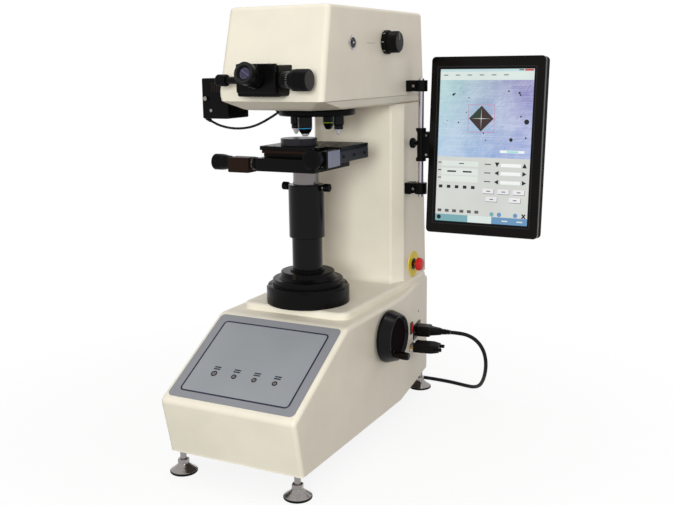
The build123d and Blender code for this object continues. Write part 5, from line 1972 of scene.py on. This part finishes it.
@dataclass
class Eyepiece:
    """The measuring eyepiece on the head's front, with its drum and its knob."""

    root: Triple = (0.0, -139.2, 603.9)
    tilt: float = 13.5
    length: float = 40.7
    knob: Pair = (-135.0, 602.0)

    def housing(self) -> None:
        """Makes the block that carries the eyepiece."""
        shape = Shape("eyepiece_block")
        face = front_of(0, -62, 601)
        shape.slab(oblong(72, 46, 3.0), face, 0.0, 78.0, BLACK_SATIN, 0.8)
        plate = front_of(0, -140, 604.75)
        shape.slab(oblong(68, 42.5, 2.0), plate, -1.0, 7.0, BLACK_SATIN, 1.8)
        shape.publish("frame", "eyepiece_housing")

    def tube(self) -> None:
        """Makes the tilted tube, its ribbed rings and the turning eyecup."""
        tilt = math.radians(self.tilt)
        way = (0, -math.cos(tilt), math.sin(tilt))
        shape = Shape("eyepiece_barrel")
        start = 9.5
        outline = spindle(
            (start, 17), (15, 17), (15, 15.6), (16.5, 15.6), (16.5, 16.6), (24, 16.6), (24, 15),
            (28.4, 15), (28.4, 9), (self.length - 3.2, 9),
        )
        shape.turn(self.root, way, outline, ANODISED, 0.35, 72)
        here = Vector(self.root) + Vector(way) * (self.length - 3.3)
        # painted reflection: the eye lens's paler rim and purplish streak are painted into its colour
        glass = Lens("eye_lens", srgb(22, 16, 44), srgb(120, 110, 168), tuple(here), 9.0)
        dome = [
            (self.length - 4, 0), (self.length - 4, 8.8), (self.length - 3.1, 8.6), (self.length - 2.3, 5.0)
        ]
        shape.turn(self.root, way, [*dome, (self.length - 2.0, 0)], glass, 0.5, 48)
        shape.publish("frame", "eyepiece_tube")
        ring = tuple(Vector(self.root) + Vector(way) * 17.2)
        Ribs("eyepiece_knurl", "frame", ANODISED, ring, way, 16.5, 6.0, 72, 0.7, 0.9).publish()
        cup = Shape("turning_eyecup")
        first, last = 28.5, self.length
        outer = [
            (first, 9.06), (first, 15.6), (first + 1, 16.4), (last - 1, 16.4), (last, 15.4), (last, 11.5)
        ]
        cup.turn(self.root, way, [*outer, (last - 2.6, 9.06)], BLACK_PLASTIC, 0.4, 72)
        cup.turn(self.root, way, tube(last - 0.5, last + 0.04, 11.6, 14.6), GREY_RING_AND_LIP_HIGHLIGHT, 0.1, 72)
        cup.publish("eyecup", "eyecup")

    def drum(self) -> None:
        """Makes the measuring drum on the right with its scale."""
        start = (24, *self.knob)
        shape = Shape("measuring_drum_turned")
        neck = [
            (0, 0), (0, 3), (12.6, 3), (12.6, 8), (16.7, 8), (16.7, 12.6), (33, 12.6), (33.7, 15),
            (34.7, 15.7),
        ]
        shape.turn(start, RIGHT, [*neck, (59.6, 15.7), (60.5, 15.0), (60.5, 0)], ANODISED, 0.4, 80)
        shape.turn(start, RIGHT, spindle((60, 14.4), (60.7, 14.3), (61.0, 13.9)), BROWN_PLASTIC, 0.2, 64)
        shape.publish("measuring_drum", "measuring_drum")
        grips = (63.0, *self.knob)
        Ribs("drum_knurl", "measuring_drum", ANODISED, grips, RIGHT, 15.65, 19.0, 80, 0.7, 0.7).publish()
        ticks = (50.0, *self.knob)
        Ribs("drum_ticks", "measuring_drum", PALE_PRINT, ticks, RIGHT, 12.6, 3.4, 30, 0.3, 0.14).publish()

    def reticle(self) -> None:
        """Makes the reticle knob on the left."""
        shape = Shape("reticle_knob_turned")
        outline = spindle(
            (0, 3), (12.6, 3), (12.6, 5.5), (33, 5.5), (33, 8.4), (34, 8.7), (49.5, 8.7), (50.5, 8)
        )
        shape.turn((-24, *self.knob), LEFT, outline, ANODISED, 0.35, 56)
        shape.publish("reticle_knob", "reticle_knob")
        grips = (-59.0, *self.knob)
        Ribs("reticle_knurl", "reticle_knob", ANODISED, grips, LEFT, 8.65, 13.5, 44, 0.7, 0.7).publish()

    def build(self) -> None:
        """Makes the eyepiece."""
        self.housing()
        self.tube()
        self.drum()
        self.reticle()


@dataclass
class LampUnit:
    """The lamp housing on the head's left."""

    knob: Triple = (-141.0, -48.0, 572.4)

    def build(self) -> None:
        """Makes the housing, its studs and the small knob."""
        shape = Shape("lamp_box")
        face = front_of(0, -18, 0)
        outline = oblong(49, 64, 2.4, (-120.5, 572.5))
        shape.slab(outline, face, 0.0, 60.0, BLACK_SATIN, 1.2)
        shape.box((-97.5, -62, 574), (-89, -22, 602), BLACK_SATIN, 0.8, 1.0)
        shape.turn(
            (-136.7, -78, 572.5), FRONT, spindle((-1, 3.5), (4.4, 3.5), (5, 2.9)), STAINLESS, 0.3, 32
        )
        shape.turn(
            (-128.7, -78, 553.5), FRONT, spindle((-1, 2.6), (0.7, 2.6), (1.2, 1.8)), STAINLESS, 0.2, 24
        )
        gland = Vector((9.0, 0.6, -4.8)).normalized()
        shape.turn(
            (-138.5, -65.8, 536.6), tuple(-gland), spindle((-0.6, 2.6), (0.4, 3.0), (9, 3.0)),
            BLACK_PLASTIC, 0.3, 24,
        )
        shape.publish("frame", "lamp_housing")
        # painted shade: the vents are dark bars laid on the box's front
        vents = front_of(-114.0, -77.95, 590.0)
        Rows("lamp_box_slots", "frame", SHADOW_GAP, vents, 6, 1, (4.6, 1.0), (1.8, 15.0, 0.35)).publish()
        knob = Shape("lamp_ball_knob")
        outline = [
            (0, 0), (0, 2), (4.4, 2), (4.4, 3.2), (5.4, 4.0), (7.4, 4.4), (9.2, 4.0), (10.1, 2.8), (10.4, 0)
        ]
        knob.turn(self.knob, LEFT, outline, PALE_BALL, 0.5, 32)
        knob.publish("lamp_knob", "lamp_knob")


@dataclass
class LoadSelector:
    """The load selector on the head's right side."""

    y: float = 116.5
    z: float = 658.7

    def build(self) -> None:
        """Makes the knob, its skirt with marks and its pointer."""
        shape = Shape("load_selector_knob")
        start = (90.6, self.y, self.z)
        skirt = spindle((-14, 5), (0, 5), (0, 19.6), (6.4, 19.6), (7.4, 18.6))
        shape.turn(start, RIGHT, skirt, BLACK_SATIN, 0.4, 80)
        cap = spindle((7.2, 16.9), (9.4, 17.3), (24, 16.8), (25.4, 15.4))
        shape.turn(start, RIGHT, cap, BLACK_PLASTIC, 0.6, 72)
        pointer = side_of(90.6 + 25.35, self.y, self.z)
        shape.slab(oblong(1.6, 11.0, 0.5, (0, 9.4)), pointer, -0.2, 0.1, PALE_PRINT, 0.05)
        shape.publish("load_selector", "load_selector")
        name, grips, marks = "load_selector", (99.6, self.y, self.z), (92.4, self.y, self.z)
        Ribs("selector_flutes", name, BLACK_PLASTIC, grips, RIGHT, 17.0, 14.5, 36, 1.3, 1.0).publish()
        Ribs("selector_marks", name, PALE_PRINT, marks, RIGHT, 19.6, 3.6, 8, 1.0, 0.12).publish()


@dataclass
class RearSockets:
    """The inlet, switch and data socket on the tapered side, with the data plug."""

    inlet: Pair = (109.7, 136.8)
    rocker: Pair = (71.2, 150.4)
    data: Pair = (77.0, 115.1)
    lean: float = 7.0

    def sockets(self) -> None:
        """Makes the frames of the inlet, the switch and the data socket."""
        shape = Shape("rear_socket_frames")
        inlet, data, rocker = (tapered_side(*p) for p in (self.inlet, self.data, self.rocker))
        shape.slab(oblong(50, 27, 3), inlet, 0.0, 2.0, BLACK_PLASTIC, 0.5, 0.05)
        shape.slab(oblong(25, 17.5, 3), inlet, 1.5, 3.0, BLACK_PLASTIC, 0.3, 0.05)
        shape.slab(oblong(39, 12.5, 2), data, 0.0, 1.2, STAINLESS, 0.3, 0.05)
        shape.slab(oblong(17, 8.4, 2.5), data, 0.6, 6.0, STAINLESS, 0.3, 0.05)
        for shift in (-12.5, 12.5):
            shape.turn(data.at(shift, 0), data.outward, pin(0.8, 6.0, 2.8), BRASS, 0.2, 6)
        shape.ring_slab(oblong(15, 22, 1.5), oblong(12, 19, 1.0), rocker, 0.0, 1.5, BLACK_PLASTIC, 0.3)
        shape.publish("frame", "rear_sockets")
        screws = [inlet.at(u, 0, 2.4) for u in (-20.0, 20.0)]
        Screws("inlet_screws", "frame", STAINLESS, screws, inlet.outward, 2.4, 1.2).publish()
        # painted shade: a dark disc stands for the hole in the side
        hole = Shape("side_vent_hole")
        spot = tapered_side(124.6, 168.8)
        hole.turn(spot.origin, spot.outward, pin(-1, 0.15, 2.2), SHADOW_GAP, 0.05, 24)
        hole.publish("frame")

    def switch(self) -> None:
        """Makes the leaning red rocker."""
        shape = Shape("rocker_key")
        lean = math.radians(self.lean)
        side = tapered_side(*self.rocker)
        outward = (side.outward * math.cos(lean) - Vector((0, 0, math.sin(lean)))).normalized()
        plane = Plane(side.origin, side.across, outward)
        shape.slab(oblong(10.8, 17.4, 1), plane, -4.0, 3.1, RED_PLASTIC, 0.6, 0.1)
        shape.slab(oblong(6.0, 1.0, 0.3, (0, 5.2)), plane, 2.5, 3.2, PALE_PRINT, 0.05)
        shape.publish("rocker", "power_rocker")

    def data_plug(self) -> None:
        """Makes the closed data plug with its thumb screws."""
        shape = Shape("data_plug_body")
        data = tapered_side(*self.data)
        sections = [
            (6, 32, 14.5, 2), (6.8, 33, 15.5, 2), (38, 33, 15.5, 2), (44, 30, 15.0, 3), (52, 24, 13.5, 4)
        ]
        necked(shape, data, sections, BLACK_PLASTIC)
        for shift in (-12.5, 12.5):
            shape.turn(
                data.at(shift, 0), data.outward, spindle((40, 3.2), (57.4, 3.2), (58, 2.6)),
                ANODISED, 0.3, 24,
            )
        shape.publish("frame", "data_plug")

    def build(self) -> None:
        """Makes the connections on the side."""
        self.sockets()
        self.switch()
        self.data_plug()


@dataclass
class EmergencyStop:
    """The mushroom button on its yellow plate."""

    y: float = 239.0
    z: float = 259.2

    def build(self) -> None:
        """Makes the plate, the collar and the button."""
        start = (90.0, self.y, self.z)
        base = Shape("stop_plate")
        base.turn(start, RIGHT, tube(0, 1.6, 4.06, 23.4), YELLOW_PLASTIC, 0.3, 80)
        collar = [(1.2, 4.06), (1.2, 10.4), (2.2, 10.2), (3.2, 8.8), (3.2, 4.06)]
        base.turn(start, RIGHT, collar, BLACK_PLASTIC, 0.3, 48)
        base.publish("frame", "stop_base")
        button = Shape("stop_mushroom")
        outline = [
            (4.1, 0), (4.1, 4), (7.2, 4), (7.2, 9), (9, 11.6), (15.6, 11.6), (18.4, 10.2), (20, 6),
            (20.4, 0),
        ]
        button.turn(start, RIGHT, outline, RED_PLASTIC, 1.0, 64)
        button.publish("stop_button", "stop_button")
        ribs = (99.6, self.y, self.z)
        Ribs("stop_ribs", "stop_button", RED_PLASTIC, ribs, RIGHT, 11.5, 5.6, 20, 1.6, 1.0).publish()


@dataclass
class Feet:
    """Four levelling feet."""

    places: dict[str, Pair] = field(
        default_factory=lambda: {
            "front_right": (102.8, -225.6),
            "front_left": (-102.8, -225.6),
            "rear_right": (83.5, 292.0),
            "rear_left": (-83.5, 292.0),
        }
    )

    def build(self) -> None:
        """Makes the feet: a cone on a rim, a hexagon and a stud."""
        for name, (x, y) in self.places.items():
            shape = Shape(f"levelling_foot_{name}")
            rim = spindle((0, 20.5), (1, 21.6), (3.2, 21.6), (3.9, 20.6))
            shape.turn((x, y, 0), UP, rim, BLACK_PLASTIC, 0.4, 64)
            cone = spindle((3.5, 20.8), (4.4, 20.4), (7.5, 16.0), (11, 11.6), (14, 8.8), (15.5, 8.0))
            shape.turn((x, y, 0), UP, cone, STAINLESS, 0.5, 64)
            shape.turn((x, y, 0), UP, pin(15.2, 22, 9.0), STAINLESS, 0.5, 6)
            shape.turn((x, y, 0), UP, pin(20, 74, 5), STAINLESS, 0.4, 24)
            shape.publish(f"foot_{name}", f"foot_{name}")


SECTION = Micrograph("section_picture", srgb(166, 206, 204), 0.99)
TITLE_PALE = Lit("screen_title_pale", srgb(196, 222, 226))
MENU_PALE = Lit("screen_menu_pale", srgb(222, 234, 230))
PAGE_PALE = Lit("screen_page_pale", srgb(214, 216, 212))
FIELD_PALE = Lit("screen_field_pale", srgb(226, 232, 226))
FIELD_WHITE = Lit("screen_white", srgb(246, 250, 248))
BUTTON_PALE = Lit("screen_button_pale", srgb(238, 236, 238))
MARK_DARK = Lit("screen_mark_dark", srgb(18, 18, 22))
MARK_GREY = Lit("screen_mark_grey", srgb(92, 92, 92))
TASK_TEAL = Lit("screen_task_teal", srgb(122, 172, 180))
TASK_BLUE = Lit("screen_task_blue", srgb(104, 150, 190))
CLOSE_RED = Lit("screen_close_red", srgb(206, 62, 50))
GUIDE_RED = Lit("screen_guide_red", srgb(206, 110, 150))
DIAMOND_DARK = Lit("screen_diamond_dark", srgb(56, 38, 40))
DIAMOND_GREEN = Lit("screen_diamond_green", srgb(40, 56, 44))
SCALE_CYAN = Lit("screen_scale_cyan", srgb(150, 226, 220))


@dataclass
class Display:
    """The rod with its clamps, the slider, the bracket and the tilting display."""

    rod: Pair = (116.0, 211.0)
    clamps: tuple[Pair, Pair] = ((575.5, 594.8), (395.0, 415.0))
    front: Triple = (236.5, 195.0, 483.5)
    tilt: float = 4.6
    size: Pair = (199.0, 303.0)
    window: Pair = (164.6, 260.4)
    depth: float = 30.0
    lip: float = 9.0
    glass: float = 3.0
    indent: float = 21.8
    arrow: float = 4.0
    pores: tuple[tuple[float, float, float], ...] = (
        (0.15, 0.164, 2.0), (0.165, 0.158, 1.4), (0.09, 0.333, 0.9), (0.299, 0.279, 1.0),
        (0.216, 0.345, 1.3), (0.742, 0.141, 1.5), (0.855, 0.153, 1.9), (0.867, 0.166, 1.5),
        (0.88, 0.302, 1.5), (0.942, 0.335, 4.3), (0.494, 0.413, 1.2), (0.52, 0.457, 1.1),
        (0.788, 0.451, 3.1), (0.941, 0.437, 1.5), (0.321, 0.184, 1.0),
    )

    def plane(self) -> Plane:
        """Gives the plane of the bezel's front."""
        tilt = math.radians(self.tilt)
        return Plane(Vector(self.front), Vector(RIGHT), Vector((0, -math.cos(tilt), math.sin(tilt))))

    def support(self) -> None:
        """Makes the rod, its clamps, the slider with its knob and the bracket."""
        x, y = self.rod
        shape = Shape("rod_clamp_blocks")
        for (low, high), inner in zip(self.clamps, (92.0, 90.0)):
            shape.box((inner, y - 14, low), (inner + 12, y + 14, high), ANODISED, 0.8, 1.2)
            shape.box((inner + 10, y - 9, low + 1.5), (x, y + 9, high - 1.5), ANODISED, 0.6, 0.8)
            eye = tube(0, high - low, 5.02, 11)
            shape.turn((x, y, low), UP, eye, ANODISED, 0.6, 48)
        shape.publish("frame", "rod_clamps")
        spots = [(x - 9.0, y - 14.3, (low + high) / 2) for low, high in self.clamps]
        Screws("rod_clamp_screws", "frame", STAINLESS, spots, FRONT, 2.6, 1.6).publish()
        pole = Shape("chrome_rod")
        pole.turn((x, y, 390), UP, pin(0, 208, 5), CHROME, 0.8, 48)
        pole.publish("frame", "display_rod")
        slider = Shape("rod_slider")
        sleeve = [(0, 5.06), (0, 9), (6, 9), (6, 7), (52.4, 7), (52.4, 9), (58.4, 9), (58.4, 5.06)]
        slider.turn((x, y, 453.6), UP, sleeve, ANODISED, 0.5, 48)
        slider.turn((x - 5.6, y, 485), LEFT, tube(0, 4.4, 2.06, 3.2), ANODISED, 0.2, 24)
        slider.publish("display_slider", "display_slider")
        knob = Shape("slider_knob_turned")
        outline = spindle((0, 2), (4.9, 2), (4.9, 6.5), (7, 8.6), (13, 8.6), (14, 7.6))
        knob.turn((x - 5.4, y, 485), LEFT, outline, BLACK_PLASTIC, 0.5, 48)
        knob.publish("slider_knob", "slider_knob")
        name, ribs = "slider_knob", (x - 12.6, y, 485)
        Ribs("slider_knob_ribs", name, BLACK_PLASTIC, ribs, LEFT, 8.5, 5.6, 18, 1.3, 1.0).publish()
        bracket = Shape("swivel_bracket")
        rings = []
        for k in range(17):
            angle = math.radians(-75.0 + 150.0 * k / 16)
            spot = Vector((math.cos(angle), math.sin(angle), 0))
            corners = ((7.06, 459.8), (9, 459.8), (9, 505.8), (7.06, 505.8))
            rings.append([Vector((x, y, z)) + spot * r for r, z in corners])
        bracket.loft(rings, ANODISED)
        bracket.box((x + 7.6, y - 10, 459.8), (x + 20.4, y + 10, 505.8), ANODISED, 0.8, 1.0)
        bracket.rod(Vector((x + 20, 210, 483.5)), Vector((x + 34, 210, 483.5)), 4.0, STAINLESS)
        bracket.publish("display_bracket", "display_bracket")
        places = ((x + 14.0, y - 10.3, 500.0), (x + 14.0, y - 10.3, 466.0))
        Screws("bracket_screws", "display_bracket", STAINLESS, places, FRONT, 2.2, 1.2).publish()

    def casing(self) -> None:
        """Makes the bezel, its lip in a paler grey as a painted highlight, and the back with dark bars of
        painted shade for slots.
        """
        plane = self.plane()
        bezel = Shape("display_bezel_frame")
        outer = oblong(*self.size, 7, (0, 0), 6)
        inner = oblong(*self.window, 0.9, (-1, 0), 6)
        bezel.ring_slab(outer, inner, plane, -self.lip, 0.0, GLOSS_PLASTIC, 1.4)
        # painted highlight: the lip is a little paler than the bezel, standing in for the light along its
        # edge
        lip = [
            oblong(self.window[0] + grow, self.window[1] + grow, 2.0, (-1, 0), 6) for grow in (10.0, 6.8)
        ]
        bezel.ring_slab(lip[0], lip[1], plane, -0.5, 0.5, GREY_RING_AND_LIP_HIGHLIGHT, 0.3)
        bezel.publish("display", "display_bezel")
        back = Shape("display_back_shell")
        back.slab(outer, plane.behind(self.lip), 0.0, self.depth - self.lip, CASING_BLACK, 5.0, 0.05)
        back.publish("display", "display_back")
        rear = plane.behind(self.depth)
        # painted shade: the back's and the side's slots are dark bars laid on the shell
        slots = rear.moved(0, 95, -0.1)
        pitch, bar = (9.0, 14.0), (5.0, 9.5, 0.3)
        Rows("display_back_slots", "display", SHADOW_GAP, slots, 14, 3, pitch, bar).publish()
        side = Plane(plane.at(self.size[0] / 2, 0, -16.0), plane.outward, plane.across)
        pitch, bar = (1.0, 21.0), (4.6, 9.0, 0.3)
        Rows("display_side_slots", "display", SHADOW_GAP, side, 1, 12, pitch, bar).publish()
        corners = [rear.at(u, v, 0.1) for u in (-84, 84) for v in (-136, 136)]
        Screws("display_back_screws", "display", STAINLESS, corners, rear.outward, 2.6, 0.4).publish()

    def patch(self, shape: Shape, sides: Colour, finish: Finish, lift: float) -> None:
        """Lays a lit rectangle on the screen.

        Args:
            shape: The piece that it joins.
            sides: Its left, top, right and bottom, as shares of the screen from its top left.
            finish: Its finish.
            lift: How far it stands out of the glass.
        """
        left, top, right, bottom = sides
        (x0, y0), (x1, y1) = self.spot(left, bottom), self.spot(right, top)
        self.lay(shape, [(x0, y0), (x1, y0), (x1, y1), (x0, y1)], finish, lift)

    def lay(self, shape: Shape, outline: Sequence[Pair], finish: Finish, lift: float) -> None:
        """Lays a lit outline on the screen, a given way out of the glass."""
        levels = (self.plane().moved(0, 0, w - self.glass) for w in (0.0, lift))
        shape.loft([[level.at(u, v) for u, v in anticlockwise(outline)] for level in levels], finish)

    def spot(self, across: float, down: float) -> Pair:
        """Turns shares of the screen's width and height into its place on the plane."""
        return (-1 + (across - 0.5) * self.window[0], (0.5 - down) * self.window[1])

    def picture(self, shape: Shape) -> None:
        """Draws the section with its indent, its guide square, its pores and its scale bar.

        Args:
            shape: The screen.
        """
        self.patch(shape, (0.0, 0.07, 1.0, 0.571), SECTION, 0.06)
        x, y = middle = self.spot(0.463, 0.318)
        r = self.indent
        corners = [(x + r, y), (x, y + r), (x - r, y), (x, y - r)]
        tones = (DIAMOND_DARK, DIAMOND_GREEN, DIAMOND_DARK, DIAMOND_DARK)
        for k in range(4):
            self.lay(shape, [middle, corners[k], corners[(k + 1) % 4]], tones[k], 0.14)
            start = Vector(middle)
            spoke = (Vector(corners[k]) - start).normalized()
            across = Vector((-spoke.y, spoke.x)) * 0.45
            streak = [tuple(start - across), tuple(start + spoke * r * 0.8), tuple(start + across)]
            self.lay(shape, streak, FIELD_PALE, 0.2)
        g = r + 1.2
        for sx, sy, w, h in ((0, g, g, 0.35), (0, -g, g, 0.35), (g, 0, 0.35, g), (-g, 0, 0.35, g)):
            self.lay(shape, oblong(2 * w, 2 * h, 0.05, (x + sx, y + sy), 1), GUIDE_RED, 0.18)
        for across, down, radius in self.pores:
            self.lay(shape, circle(radius, self.spot(across, down)), MARK_DARK, 0.12)
        self.patch(shape, (0.68, 0.52, 0.935, 0.536), FIELD_WHITE, 0.18)
        self.patch(shape, (0.75, 0.523, 0.87, 0.533), SCALE_CYAN, 0.22)

    def arrows(self, shape: Shape) -> None:
        """Draws three rows of adjusting arrows beside their sliders.

        Args:
            shape: The screen.
        """
        for row, down in enumerate((0.614, 0.668, 0.726)):
            self.patch(shape, (0.695, down - 0.009, 0.905, down + 0.013), FIELD_WHITE, 0.14)
            for across, way in ((0.655, -1), (0.944, 1)):
                x, y = self.spot(across, down)
                size = self.arrow
                tip = [(x - size, y - size * way), (x + size, y - size * way), (x, y + size * way)]
                if row > 0:
                    tip = [
                        (x - 0.8 * size * way, y + size), (x - 0.8 * size * way, y - size),
                        (x + size * way, y),
                    ]
                self.lay(shape, tip, MARK_DARK, 0.2)

    def screen(self) -> None:
        """Makes the screen with its picture and its plain, wordless controls."""
        shape = Shape("lit_screen")
        outline = oblong(self.window[0], self.window[1], 0.3, (-1, 0))
        shape.slab(outline, self.plane(), -self.lip, -self.glass, PAGE_PALE, 0.05)
        self.patch(shape, (0.0, 0.0, 1.0, 0.016), TITLE_PALE, 0.08)
        self.patch(shape, (0.0, 0.016, 1.0, 0.07), MENU_PALE, 0.08)
        self.patch(shape, (0.9, 0.002, 0.99, 0.013), CLOSE_RED, 0.16)
        self.patch(shape, (0.84, 0.003, 0.89, 0.01), MARK_GREY, 0.14)
        self.picture(shape)
        self.arrows(shape)
        for top, bottom in ((0.598, 0.632), (0.645, 0.69), (0.696, 0.735)):
            self.patch(shape, (0.05, top, 0.452, bottom), FIELD_PALE, 0.14)
        for row, (left, right) in enumerate(((0.573, 0.896), (0.611, 0.859))):
            count = 3 - row
            for k in range(count):
                middle = left + (right - left) * k / (count - 1)
                down = 0.787 + 0.052 * row
                self.patch(
                    shape, (middle - 0.06, down - 0.012, middle + 0.062, down + 0.019), MARK_GREY, 0.12
                )
                self.patch(
                    shape, (middle - 0.062, down - 0.015, middle + 0.058, down + 0.016), BUTTON_PALE, 0.16
                )
                self.patch(
                    shape, (middle - 0.02, down - 0.002, middle + 0.02, down + 0.004), MARK_GREY, 0.2
                )
        self.patch(shape, (0.0, 0.955, 0.36, 1.0), TASK_TEAL, 0.08)
        self.patch(shape, (0.36, 0.955, 0.62, 1.0), MENU_PALE, 0.08)
        self.patch(shape, (0.62, 0.955, 1.0, 1.0), TASK_BLUE, 0.08)
        for across, finish in ((0.62, TASK_TEAL), (0.7, TASK_BLUE), (0.871, TASK_BLUE), (0.04, MARK_DARK)):
            down = 0.975 if finish is MARK_DARK else 0.938
            self.lay(shape, circle(3.8, self.spot(across, down)), finish, 0.14)
        x, y = self.spot(0.957, 0.94)
        for way in (-1, 1):
            bar = [
                (x - 3.8, y - 2.8 * way), (x - 2.0, y - 4.2 * way), (x + 3.8, y + 2.8 * way),
                (x + 2.0, y + 4.2 * way),
            ]
            self.lay(shape, bar, MARK_DARK, 0.16 + 0.02 * way)
        shape.publish("display", "display_screen")

    def marks(self) -> None:
        """Lays rows of plain marks, where the display has its words and figures."""
        glass = self.plane().moved(0, 0, -self.glass)
        for name, finish, spot, counts, pitch, bar in (
            ("menu_marks", MARK_GREY, (0.385, 0.038), (6, 1), (21.3, 1.0), (8.0, 1.5)),
            ("label_marks", MARK_GREY, (0.555, 0.669), (1, 3), (1.0, 14.6), (11.0, 1.8)),
            ("field_marks", MARK_GREY, (0.27, 0.614), (1, 1), (1.0, 1.0), (9.0, 1.8)),
            ("figures", MARK_DARK, (0.25, 0.667), (2, 1), (28.3, 1.0), (16.0, 2.6)),
            ("icons", MARK_DARK, (0.226, 0.769), (5, 1), (14.7, 1.0), (6.4, 5.2)),
            ("small_icons", MARK_GREY, (0.25, 0.93), (6, 1), (13.5, 1.0), (7.0, 5.0)),
            ("side_marks", MARK_DARK, (0.03, 0.66), (1, 3), (1.0, 13.0), (6.0, 1.6)),
            ("task_marks", FIELD_PALE, (0.84, 0.978), (2, 1), (26.0, 1.0), (10.0, 2.0)),
        ):
            at = glass.moved(*self.spot(*spot), 0.12)
            Rows(f"screen_{name}", "display", finish, at, *counts, pitch, (*bar, 0.3)).publish()
        area = glass.moved(*self.spot(0.5, 0.322), 0.12)
        width, height = self.window[0] * 0.97, self.window[1] * 0.48
        Specks("section_specks", "display", MARK_DARK, area, width, height, 70, 0.5, 11).publish()

    def build(self) -> None:
        """Makes the display and what carries it."""
        self.support()
        self.casing()
        self.screen()
        self.marks()


def dress_inner_nodes() -> None:
    """Gives the hidden pieces that keep their own meshes their finishes."""
    finishes = {"bottom_plate": CREAM, "nut_gear": BRASS, "wheel_shaft": GROUND_STEEL}
    finishes |= {"loading_lever": GROUND_STEEL, "electronics": BOARD}
    for name, finish in finishes.items():
        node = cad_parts[name]
        for slot in node.material_slots:
            slot.material = finish.material()
        LOG.info("%s keeps its mesh", name)


def main() -> None:
    """Builds the machine piece by piece."""
    logging.basicConfig(level=logging.INFO, format="%(name)s: %(message)s")
    parts = [
        Studio(), Cords(), Housing(), ControlPanel(), Elevator(), Handwheel(), Stage(), Turret(),
        Eyepiece(), LampUnit(), LoadSelector(), RearSockets(), EmergencyStop(), Feet(), Display(),
    ]
    for part in parts:
        LOG.info("building %s", type(part).__name__)
        part.build()
    dress_inner_nodes()


if __name__ == "__main__":
    main()
